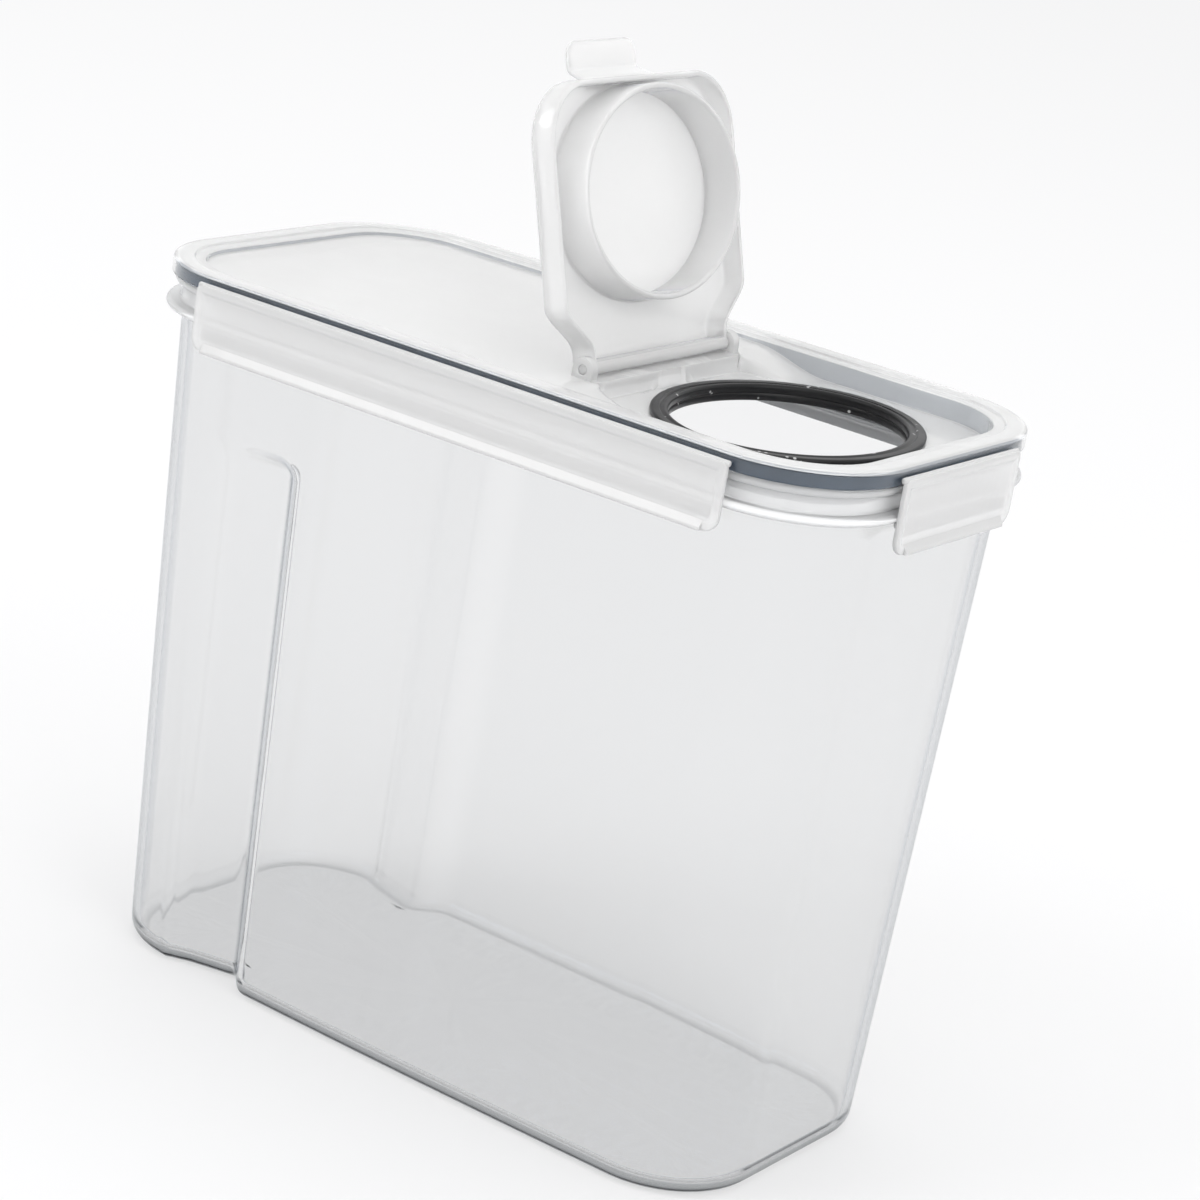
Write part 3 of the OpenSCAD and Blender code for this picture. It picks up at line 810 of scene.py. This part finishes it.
@dataclass
class Lid(Piece):
    """Lid with a raised rim, a rear deck, a ramp and step to the spout deck, and hinge ears."""

    name = "lid_plate"
    node = "lid"
    finishes = (Finish.LID, Finish.SKIRT, Finish.RIM_WALL, Finish.PLUG_WALL)

    wall_at: float = 9.4
    wall_t: float = 1.5
    foot: float = 0.5
    step_run: float = 1.2
    ramp_l: float = 24.0
    hole_gap: float = 0.1
    inner_top: float = 1.25
    skirt_strips: int = 6
    edge_strips: int = 3
    wall_strips: tuple[int, int] = (-2, 5)
    plug_strips: int = 18
    channel_strips: int = 7

    def height(self, x: np.ndarray, y: np.ndarray) -> np.ndarray:
        """Deck height below the lid's top: a steep step between the ears, a long ramp beside them.

        The fall runs over a length that grows from the step's run to the ramp's, by an eased
        share of the distance outside the ears.

        Args:
            x: Places along the length.
            y: Places across the width.

        Returns:
            Height at each place, negative.
        """
        s = SIZES
        side = ease((np.abs(y) - s.hinge_half + 2) / 4.0)
        run = self.step_run + (self.ramp_l - self.step_run) * side
        mid = s.step_x + self.ramp_l / 4 * side
        fall = ease((x - mid) / run + 0.5)
        return -s.deck - (s.spout_deck - s.deck) * fall

    def oval_at(self, ray: np.ndarray, off: float) -> np.ndarray:
        """Where rays (u, v) meet the opening's oval moved out by off: (u, v) / hypot(u/l, v/w)."""
        s = SIZES
        return ray / np.hypot(ray[:, 0] / (s.spout_l + off), ray[:, 1] / (s.spout_w + off))[:, None]

    def deck_points(self) -> tuple[np.ndarray, np.ndarray]:
        """Deck grid: rays from the spout's rim to the foot of the rim's wall.

        Ring shares crowd where the ray crosses the ramp, found by where the height passes
        its ends.

        Returns:
            (R, N, 2) plan points from hole to foot and their (R, N) heights.
        """
        s = SIZES
        foot = lid_ring(self.wall_at + self.foot, 0.0)[:, :2]
        centre = np.array([s.spout_x, 0.0])
        hole = centre + self.oval_at(foot - centre, s.seal_t + self.hole_gap + self.foot)
        probe = np.linspace(0, 1, 800)[:, None]
        px = hole[None, :, 0] + (foot - hole)[None, :, 0] * probe
        py = hole[None, :, 1] + (foot - hole)[None, :, 1] * probe
        h = self.height(px, py)
        low = (h < -s.spout_deck + 0.02).mean(0)
        high = 1 - (h > -s.deck - 0.02).mean(0)
        s0 = np.clip(low, 0.05, 0.90)
        s1 = np.clip(np.maximum(high, s0 + 0.004), 0.0, 0.96)
        parts = [s0 * np.linspace(0, 1, 10, endpoint=False)[:, None],
                 s0 + (s1 - s0) * np.linspace(0, 1, 14, endpoint=False)[:, None],
                 s1 + (1 - s1) * np.linspace(0, 1, 14)[:, None]]
        share = np.concatenate(parts)[..., None]
        xy = hole + (foot - hole) * share
        return xy, self.height(xy[..., 0], xy[..., 1])

    def profile(self) -> tuple[Points, Points]:
        """Fixed stretches of the section: outside and top going inward, and the channel below.

        Returns:
            (skirt and top, plug wall's outside and channel), as (inset, height) points.
        """
        s = SIZES
        rim = [(0.35, -s.skirt), *arc(0.35, -s.skirt + 0.35, 0.35, 270, 180, 3)[1:], (0, -2.0),
               *arc(1.2, -1.2, 1.2, 180, 90, 7), (3.0, 0.0), (5.6, 0.0),
               *arc(5.6, -0.5, 0.5, 90, 20, 4)[1:], (6.3, -0.62), (8.5, -0.75),
               *arc(self.wall_at - 0.5, -self.inner_top, 0.5, 90, 0, 4)]
        t = s.rim_t
        w = self.wall_at - self.wall_t
        low = -s.plug_wall
        under = [*arc(self.wall_at - 0.4, low + 0.4, 0.4, 0, -90, 3), (w + 0.4, low),
                 *arc(w + 0.4, low + 0.4, 0.4, 270, 180, 3)[1:], (w, -t - 0.9),
                 *arc(w - 0.4, -t - 0.9, 0.4, 20, 90, 3), (6.2, -t), (2.2, -t),
                 *arc(1.8, -t - 0.4, 0.4, 90, 180, 3), (1.35, -s.skirt + 0.3), (1.1, -s.skirt)]
        return rim, under

    def ear(self, side: int) -> None:
        """Adds one hinge ear: an arch on a foot, bored for the cap's stub pin.

        The outer loop follows the arch seen from the bore's centre: radius ear_r above, the
        box's edge below.

        Args:
            side: -1 or 1.
        """
        s = SIZES
        foot = s.axis_up + s.deck + s.deck_t / 2
        a = np.linspace(0, 2 * np.pi, 72, endpoint=False)
        c, n = np.cos(a), np.sin(a)
        box = np.minimum(s.ear_r / np.maximum(np.abs(c), 1e-6), foot / np.maximum(-n, 1e-6))
        outer = np.where(n >= 0, s.ear_r, box)
        inner = np.full_like(a, s.pin_r + s.pin_gap)
        y0 = s.neck_half + s.ear_gap
        y1 = y0 + s.ear_t
        stack = [(inner, y0 + 0.2), (inner + 0.2, y0), (outer - 0.4, y0), (outer - 0.1, y0 + 0.12),
                 (outer, y0 + 0.4), (outer, y1 - 0.4), (outer - 0.1, y1 - 0.12), (outer - 0.4, y1),
                 (inner + 0.2, y1), (inner, y1 - 0.2)]
        rings = [np.stack([s.axis_x + r * c, np.full_like(a, side * y), s.top + s.axis_up + r * n], -1)
                 for r, y in stack]
        self.shell.loft(np.stack(rings), closed=True)

    def model(self) -> None:
        """Lofts the whole section from skirt over rim and deck to the hole and back below."""
        s = SIZES
        rim, under = self.profile()
        xy, h = self.deck_points()
        centre = np.array([s.spout_x, 0.0])
        rings = [lid_ring(o, z) for o, z in rim]
        foot_h = h[-1]
        for k in np.linspace(0, 1, 5)[1:]:
            z = -self.inner_top + (foot_h + self.foot + self.inner_top) * k
            rings.append(lid_ring(self.wall_at, z))
        f = self.foot
        rings += [lid_ring(o, foot_h + z) for o, z in arc(self.wall_at + f, f, f, 210, 240, 1)]
        deck = np.concatenate([xy, (s.top + h)[..., None]], -1)
        rings += list(deck[::-1])
        ray = xy[0] - centre
        r0 = s.seal_t + self.hole_gap
        edge = [*arc(r0 + f, -f, f, 120, 180, 2), *arc(r0 + f, f - s.deck_t, f, 180, 240, 2)]
        rings += [level(centre + self.oval_at(ray, r), s.top - s.spout_deck + z) for r, z in edge]
        rings += list(deck - np.array([0, 0, s.deck_t]))
        below = foot_h - s.deck_t
        rings += [lid_ring(o, below + z) for o, z in arc(self.wall_at + f, -f, f, 120, 180, 2)]
        rings += [lid_ring(o, z) for o, z in under]
        self.shell.loft(np.stack(rings), closed=True, painted=self.clear_strips(len(rings), len(rim)))
        for side in (-1, 1):
            self.ear(side)

    def clear_strips(self, count: int, rim: int) -> list[list[int]]:
        """Strips with a finish of their own, by where they stand on the section.

        Args:
            count: Number of rings.
            rim: Number of rings in the skirt and top.

        Returns:
            Strips of the skirt with its channel, which show the gasket clearly, of the rounded edge
            with the rim's inner wall, which show it cloudily, and of the plug wall, which hides it.
            The inner wall's strips are counted from the end of the top.
        """
        skirt, channel = self.skirt_strips, count - self.channel_strips
        first, last = self.wall_strips
        return [[*range(skirt), *range(channel, count)],
                [*range(skirt, skirt + self.edge_strips), *range(rim + first, rim + last)],
                [*range(channel - self.plug_strips, channel)]]


@dataclass
class LidGasket(Piece):
    """Silicone ring in the lid's channel, with a lip inside the container's mouth."""

    name = "lid_gasket_ring"
    node = "lid_gasket"
    slot = "blue_gasket"
    finishes = (Finish.GASKET,)

    gap: float = 0.1
    lip: float = 9.0

    def model(self) -> None:
        """Sweeps the gasket's section round the lid's outline."""
        s = SIZES
        a = s.shell + self.gap
        b = s.rim_w - s.shell - self.gap
        t = -s.rim_t - self.gap
        m = s.neck_in + s.wall + 0.3
        low = s.mouth - s.top
        end = -self.lip
        section = [(a, low), (a - 0.05, low + 1.2), (a, low + 1.6),
                   *arc(a + 0.4, t - 0.4, 0.4, 180, 90, 4), (6.2, t),
                   *arc(b - 0.4, t - 0.9, 0.4, 60, 0, 3), (b, end + 0.3), (b - 0.3, end),
                   (m + 0.2, end), (m, end + 0.3), (m, low)]
        self.shell.loft(np.stack([lid_ring(o, z) for o, z in section]), closed=True)


@dataclass
class SpoutSeal(Piece):
    """Rubber ring that grips the edge of the pour opening between two lips."""

    name = "spout_seal_ring"
    node = "spout_seal"
    slot = "black_seal"
    finishes = (Finish.SEAL,)

    def model(self) -> None:
        """Carries the seal's section round the pour opening."""
        s = SIZES
        r1 = s.seal_t
        r2 = r1 + s.seal_lip
        top, under = -s.spout_deck, -s.spout_deck - s.deck_t
        hi, lo = top + s.lip_t, under - s.lip_t
        c = s.lip_t / 2
        section = [*arc(c, lo + c, c, 180, 270, 4), *arc(r2 - c, lo + c, c, 270, 360, 4),
                   (r2 - 0.1, under), (r1, under), (r1, top), (r2 - 0.2, top),
                   *arc(r2 - c, hi - c, c, -60, 90, 10), (2.6, hi - 0.05), (2.3, hi - 0.35),
                   (2.0, hi - 0.35), *arc(1.0, hi - 1.0, 1.0, 60, 180, 8),
                   (0.0, hi - 2.2), (0.25, hi - 2.5), (0.0, hi - 2.9)]
        self.shell.loft(oval_ring(section) + np.array([s.spout_x, 0, s.top]), closed=True)


# ---- flip cap


@dataclass
class FlipCap(Piece):
    """Cap with a skirt, a hollow plug, a stepped thumb tab, a hinge barrel and stub pins.

    It is drawn shut about its hinge axis, lengthways along x, and swung open.
    """

    name = "flip_cap_shell"
    body = "cap"
    node = "flip_cap"
    finishes = (Finish.CAP,)

    half_w: float = 43.2
    length: float = 76.0
    rise: float = 6.4
    plate: float = 2.0
    skirt: float = 8.2
    corner: float = 17.0
    neck_l: float = 4.0
    flare_l: float = 13.0
    skirt_t: float = 1.8
    edge: float = 2.4
    plug_gap: float = 0.8
    plug_t: float = 1.6
    plug_h: float = 13.3
    tab_w: float = 32.0
    tab_rise: float = 6.0
    tab_l: float = 9.0
    tab_t: float = 1.8
    tab_bend: float = 1.4
    tab_corner: float = 4.2
    tab_flare: float = 1.4
    tab_flare_l: float = 6.0
    barrel: float = 2.0
    open_angle: float = 106.5

    def half(self, x: np.ndarray) -> np.ndarray:
        """Half width at distances from the hinge axis: the neck eases out to full width."""
        s = SIZES
        return s.neck_half + (self.half_w - s.neck_half) * ease((x - self.neck_l) / self.flare_l)

    def ring(self, d: float, z: float) -> np.ndarray:
        """Ring of the cap's outline, counter-clockwise.

        Args:
            d: Distance inside the outline.
            z: Height over the hinge axis.

        Returns:
            (N, 3) points.
        """
        r = self.corner - d
        side = self.length - d - r
        flank = d + (side - d) * np.linspace(0, 1, 48)
        a = np.linspace(0, np.pi / 2, 17)
        w = self.half_w - d - r
        parts = [np.stack([flank, -(self.half(flank) - d)], -1),
                 np.stack([side + r * np.sin(a[1:]), -w - r * np.cos(a[1:])], -1),
                 np.stack([np.full(13, side + r), np.linspace(-w, w, 15)[1:-1]], -1),
                 np.stack([side + r * np.cos(a[:-1]), w + r * np.sin(a[:-1])], -1),
                 np.stack([flank[::-1], self.half(flank[::-1]) - d], -1),
                 np.stack([np.full(13, d), np.linspace(1, -1, 15)[1:-1] * (SIZES.neck_half - d)], -1)]
        return level(np.concatenate(parts), z)

    def shell_rings(self) -> np.ndarray:
        """Plate and skirt: from the plate's underside down the skirt, round its lip and up.

        Returns:
            (R, N, 3) rings for a capped loft.
        """
        low = self.rise - self.skirt
        t, e = self.skirt_t, self.edge
        under = self.rise - self.plate
        section = [(t + 9.0, under), (t + 5.0, under), (t + 2.5, under),
                   *arc(t + 1.0, under - 1.0, 1.0, 90, 180, 3), (t - 0.2, low + 0.5)]
        section += [(0.9 - 0.7 * math.cos(a), low + 0.5 - 0.5 * math.sin(a))
                    for a in np.radians([150, 120, 90, 60, 30])]
        section += [(0.0, low + 0.7), (0.0, self.rise - e - 0.2),
                    *arc(e, self.rise - e, e, 180, 90, 8),
                    (e + 1.0, self.rise), (e + 3.0, self.rise), (e + 8.0, self.rise)]
        return np.stack([self.ring(d, z) for d, z in section])

    def plug(self) -> np.ndarray:
        """Hollow plug: a thin ring with a rounded free edge and a small foot at the plate.

        Returns:
            (P, N, 3) rings for a closed loft.
        """
        r = -self.plug_gap
        h = self.plug_h - self.plate / 2
        c = self.plug_t / 2
        section = [(r - self.plug_t, h), (r - self.plug_t, 1.0), *arc(r - c, c, c, 180, 360, 8),
                   (r, h - 1.9), *arc(r + 0.6, h - 1.6, 0.6, 200, 100, 3), (r + 0.5, h)]
        move = np.array([SIZES.spout_x - SIZES.axis_x, 0, self.rise - self.plug_h])
        return oval_ring(section) + move

    def tab(self) -> np.ndarray:
        """Thumb tab: a flat bar carried along a stepped path, its free corners rounded.

        Each cross-section is a thin rounded bar across the path, whose half width shrinks by
        a circle's rise near the free end and flares by an eased share at the root.

        Returns:
            (R, N, 3) rings for a capped loft.
        """
        r, t = self.rise, self.tab_t
        pts = np.array([(self.length - 3.0, r - t / 2), (self.length - 0.8, r - t / 2),
                        (self.length + 2.3, r + self.tab_rise - t / 2),
                        (self.length + 2.4 + self.tab_l - t / 2, r + self.tab_rise - t / 2)])
        path = self.rounded(pts, self.tab_bend)
        d = np.gradient(path, axis=0)
        d /= np.linalg.norm(d, axis=1, keepdims=True)
        nrm = np.stack([-d[:, 1], d[:, 0]], -1)
        run = np.r_[0, np.cumsum(np.linalg.norm(np.diff(path, axis=0), axis=1))]
        left = run[-1] - run
        c = self.tab_corner
        shrink = c - np.sqrt(np.clip(c * c - np.clip(c - left, 0, c) ** 2, 0, None))
        half = self.tab_w / 2 - shrink + self.tab_flare * (1 - ease(run / self.tab_flare_l))
        thin = t / 2 * np.clip(0.35 + left / 1.2, 0, 1)
        a = np.linspace(0, 2 * np.pi, 40, endpoint=False)
        across = np.sign(np.cos(a)) * np.abs(np.cos(a)) ** 0.25
        up = np.sign(np.sin(a)) * np.abs(np.sin(a)) ** 0.6
        y = (half[:, None] - t / 2) * across + t / 2 * np.cos(a)
        n = thin[:, None] * up
        return np.stack([path[:, :1] + nrm[:, :1] * n, y, path[:, 1:] + nrm[:, 1:] * n], -1)

    def rounded(self, pts: np.ndarray, r: float) -> np.ndarray:
        """Polyline with its inner corners replaced by quadratic curves.

        Args:
            pts: (K, 2) corners.
            r: Distance before and after a corner where its curve starts and ends.

        Returns:
            (N, 2) points.
        """
        out = [pts[0]]
        for a, b, c in zip(pts[:-2], pts[1:-1], pts[2:]):
            p = b + (a - b) / np.linalg.norm(a - b) * r
            q = b + (c - b) / np.linalg.norm(c - b) * r
            for t in np.linspace(0, 1, 7):
                out.append((1 - t) ** 2 * p + 2 * t * (1 - t) * b + t * t * q)
        a, b = out[-1], pts[-1]
        out += [a + (b - a) * k for k in np.linspace(0, 1, 16)[1:]]
        return np.array(out)

    def rod(self, r: float, half: float, bevel: float) -> np.ndarray:
        """Round bar across the width on the hinge axis.

        Args:
            r: Radius.
            half: Half length.
            bevel: Radius of the rounded ends.

        Returns:
            (R, N, 3) rings for a capped loft.
        """
        a = np.linspace(0, 2 * np.pi, 32, endpoint=False)
        rings = prism(np.stack([np.cos(a), np.sin(a)], -1) * r, -half, half, bevel)
        return rings[..., [1, 0, 2]]

    def model(self) -> None:
        """Joins the cap's surfaces, swings them open and moves them to the hinge."""
        s = SIZES
        shell = self.shell
        shell.loft(self.shell_rings())
        shell.loft(self.plug(), closed=True)
        shell.loft(self.tab())
        shell.loft(self.rod(self.barrel, s.neck_half, 0.4))
        shell.loft(self.rod(s.pin_r, s.hinge_half - 0.2, 0.3))
        turn = np.array(Matrix.Rotation(math.radians(-self.open_angle), 3, "Y"))
        at = np.array([s.axis_x, 0, s.top + s.axis_up])
        shell.verts = [v @ turn.T + at for v in shell.verts]


# ---- lock flaps


class Edge(Enum):
    """Edge of the lid that a flap hangs from.

    Each is (node, body, turn about Z in degrees, flap's length, flap's drop below the lid's top).
    """

    FRONT = ("lock_front", "front_lock", 0, 180.0, 21.4)
    BACK = ("lock_back", "back_lock", 180, 180.0, 21.4)
    SPOUT_END = ("lock_spout_end", "spout_end_lock", 90, 59.0, 22.8)
    REAR_END = ("lock_rear_end", "rear_end_lock", -90, 59.0, 22.8)


@dataclass
class LockFlap(Piece):
    """Hinged flap with a framed panel, a catch hook, a rolled top edge and a finger lip."""

    finishes = (Finish.FLAP,)

    edge: Edge
    border: float = 2.6
    corner: float = 4.5
    top_corner: float = 2.0
    sunk: float = 0.4
    hook_in: float = 1.8
    hook_h: float = 3.0

    def __post_init__(self) -> None:
        """Takes the flap's node, body, turn, length and drop from its edge."""
        self.node, self.body, self.turn, self.length, self.drop = self.edge.value
        self.name = self.node + "_flap"

    def panel_ring(self, inset: float, y: float) -> np.ndarray:
        """Ring of the panel's outline in the edge's own frame, seen from outside.

        Args:
            inset: Distance inside the outline.
            y: Place across the flap's thickness.

        Returns:
            (N, 3) points.
        """
        s = SIZES
        half = self.length / 2 - inset
        lo, hi = -self.drop + inset, -s.hinge_drop + 0.5 - inset
        rb = max(self.corner - inset, 0.6)
        rt = max(self.top_corner - inset, 0.4)
        pts = [*arc(-half + rb, lo + rb, rb, 180, 270, 8), *arc(half - rb, lo + rb, rb, 270, 360, 8),
               *arc(half - rt, hi - rt, rt, 0, 90, 6), *arc(-half + rt, hi - rt, rt, 90, 180, 6)]
        p = np.array(pts)
        return np.stack([p[:, 0], np.full(len(p), y), p[:, 1]], -1)

    def panel(self) -> np.ndarray:
        """Flap panel: flat back, rounded edges, raised border and sunk middle.

        Returns:
            (R, N, 3) rings for a capped loft.
        """
        s = SIZES
        y0 = -s.flap_at
        y1 = y0 - s.flap_t
        b = self.border
        low = y1 + self.sunk
        stack = [(4.0, y0), (0.5, y0), (0.15, y0 - 0.15), (0.0, y0 - 0.5), (0.0, y1 + 0.5),
                 (0.15, y1 + 0.15), (0.5, y1), (b - 0.7, y1), (b - 0.3, y1 + 0.1), (b, low - 0.08),
                 (b + 0.35, low), (b + 2.0, low)]
        return np.stack([self.panel_ring(i, y) for i, y in stack])

    def model(self) -> None:
        """Joins panel, rolled edge, hook and finger lip, then turns them to their edge."""
        s = SIZES
        shell = self.shell
        shell.loft(self.panel())
        half = self.length / 2
        a = np.linspace(0, 2 * np.pi, 24, endpoint=False)
        axis = np.array([-(0.3 + s.roll_r), -s.hinge_drop])
        shell.loft(prism(axis + s.roll_r * np.stack([np.cos(a), np.sin(a)], -1), -half, half, 0.5))
        z = -s.flange_drop - 0.3
        back = -s.flap_at - 0.5
        tip = -s.flap_at + self.hook_in + s.flap_gap
        hook = np.array([(back, z), (tip - 0.6, z), (tip - 0.15, z - 0.15), (tip, z - 0.6),
                         (tip - 0.3, z - 1.2), (back, z - self.hook_h)])
        shell.loft(prism(hook, -half + 3, half - 3, 0.4))
        y1 = -s.flap_at - s.flap_t
        low = -self.drop
        lip = np.array([(y1 + 0.5, low), (y1 - 0.7, low), (y1 - 0.9, low + 0.2),
                        (y1 - 0.9, low + 0.8), (y1 - 0.7, low + 1.1), (y1 + 0.5, low + 3)])
        shell.loft(prism(lip, -half + self.corner, half - self.corner, 0.4))
        out = s.lid_l / 2 if self.turn % 180 else s.lid_w / 2
        spin = np.array(Matrix.Rotation(math.radians(self.turn), 3, "Z"))
        shell.verts = [(v + np.array([0, -out, s.top])) @ spin.T for v in shell.verts]


# ---- studio


@dataclass(frozen=True)
class Lamp:
    """Square softbox that faces the object: place and size in metres, power in watts."""

    name: str
    place: Place
    size: float
    watts: float
    aim: Place = (0.0, 0.0, 0.12)

    def build(self) -> None:
        """Adds the lamp to the scene."""
        data = bpy.data.lights.new(self.name, "AREA")
        data.shape = "SQUARE"
        data.size = self.size
        data.energy = self.watts
        obj = bpy.data.objects.new(self.name, data)
        bpy.context.scene.collection.objects.link(obj)
        obj.rotation_mode = "QUATERNION"
        obj.rotation_quaternion = (Vector(self.place) - Vector(self.aim)).to_track_quat("Z", "Y")
        obj.location = self.place


LAMPS = (Lamp("key", (-1.2, -1.6, 1.8), 1.2, 14.0),
         Lamp("fill", (1.8, -0.6, 1.2), 1.4, 11.0),
         Lamp("top", (0.0, 0.4, 2.2), 1.6, 7.0))


@dataclass(frozen=True)
class Studio:
    """Camera, floor, world and lamps, in metres and pixels."""

    place: Place = (0.511777, -0.760861, 0.432181)
    right: Place = (0.771537, 0.620934, 0.138462)
    down: Place = (0.310922, -0.178152, -0.933589)
    forward: Place = (-0.555030, 0.763350, -0.330513)
    focal_px: float = 3372.06
    centre_px: tuple[float, float] = (420.0, 652.5)
    image_px: float = 1200.0
    sensor: float = 36.0
    far: float = 20.0
    sky: float = 0.9
    floor_half: float = 6.0
    floor_tone: tuple[float, float, float, float] = (0.86, 0.86, 0.87, 1)
    floor_glow: float = 0.5

    def camera(self) -> None:
        """Places the camera from its axes, focal length and centre in pixels."""
        cam = bpy.data.objects.new("camera", bpy.data.cameras.new("camera"))
        bpy.context.scene.collection.objects.link(cam)
        x, y, z = (np.array(v) for v in (self.right, self.down, self.forward))
        m = Matrix.Identity(4)
        for i in range(3):
            m[i][0], m[i][1], m[i][2], m[i][3] = x[i], -y[i], -z[i], self.place[i]
        cam.matrix_world = m
        cam.data.sensor_width = self.sensor
        cam.data.lens = self.focal_px * self.sensor / self.image_px
        cam.data.shift_x = (self.image_px / 2 - self.centre_px[0]) / self.image_px
        cam.data.shift_y = (self.centre_px[1] - self.image_px / 2) / self.image_px
        cam.data.clip_end = self.far
        bpy.context.scene.camera = cam

    def seen(self, w: Links) -> bpy.types.NodeSocket:
        """Tells the rays that see the pale background from those that only light.

        Args:
            w: Links of the world or the floor's material.

        Returns:
            1 for camera, glossy and transmission rays, else 0.
        """
        path = w.node("ShaderNodeLightPath")
        one = w.node("ShaderNodeMath", operation="MAXIMUM", i0=path.outputs["Is Camera Ray"],
                     i1=path.outputs["Is Transmission Ray"])
        return w.node("ShaderNodeMath", operation="MAXIMUM", i0=one.outputs[0],
                      i1=path.outputs["Is Glossy Ray"]).outputs[0]

    def world(self) -> None:
        """Pale world: white to the eye, softer as a light."""
        world = bpy.data.worlds.new("studio")
        bpy.context.scene.world = world
        world.use_nodes = True
        tree = world.node_tree
        tree.nodes.clear()
        w = Links(tree)
        light = w.node("ShaderNodeBackground", Color=(1, 1, 1, 1), Strength=self.sky)
        view = w.node("ShaderNodeBackground", Color=(1, 1, 1, 1), Strength=1.0)
        mix = w.node("ShaderNodeMixShader", i0=self.seen(w), i1=light.outputs[0], i2=view.outputs[0])
        w.node("ShaderNodeOutputWorld", Surface=mix.outputs[0])

    def floor(self) -> None:
        """Plain pale floor that keeps the object's soft shadow."""
        me = bpy.data.meshes.new("floor")
        h = self.floor_half
        me.from_pydata([(-h, -h, 0), (h, -h, 0), (h, h, 0), (-h, h, 0)], [], [(0, 1, 2, 3)])
        obj = bpy.data.objects.new("floor", me)
        bpy.context.scene.collection.objects.link(obj)
        mat = bpy.data.materials.new("pale_floor")
        mat.use_nodes = True
        tree = mat.node_tree
        tree.nodes.clear()
        w = Links(tree)
        lit = w.node("ShaderNodeBsdfDiffuse", Color=self.floor_tone)
        glow = w.node("ShaderNodeEmission", Color=(1, 1, 1, 1), Strength=1.0)
        part = w.node("ShaderNodeMath", operation="MULTIPLY", i0=self.seen(w), i1=self.floor_glow)
        mix = w.node("ShaderNodeMixShader", i0=part.outputs[0], i1=lit.outputs[0], i2=glow.outputs[0])
        w.node("ShaderNodeOutputMaterial", Surface=mix.outputs[0])
        me.materials.append(mat)

    def build(self) -> None:
        """Sets up the whole studio."""
        self.camera()
        self.world()
        self.floor()
        for lamp in LAMPS:
            lamp.build()
        bpy.context.scene.view_settings.view_transform = "Standard"


def main() -> None:
    """Builds the studio and every piece in order."""
    logging.basicConfig(level=logging.INFO, format="%(name)s: %(message)s")
    Studio().build()
    closet = Wardrobe()
    for kind in (Container, Lid, LidGasket, SpoutSeal, FlipCap):
        kind().build(closet)
    for edge in Edge:
        LockFlap(edge).build(closet)


if __name__ == "__main__":
    main()
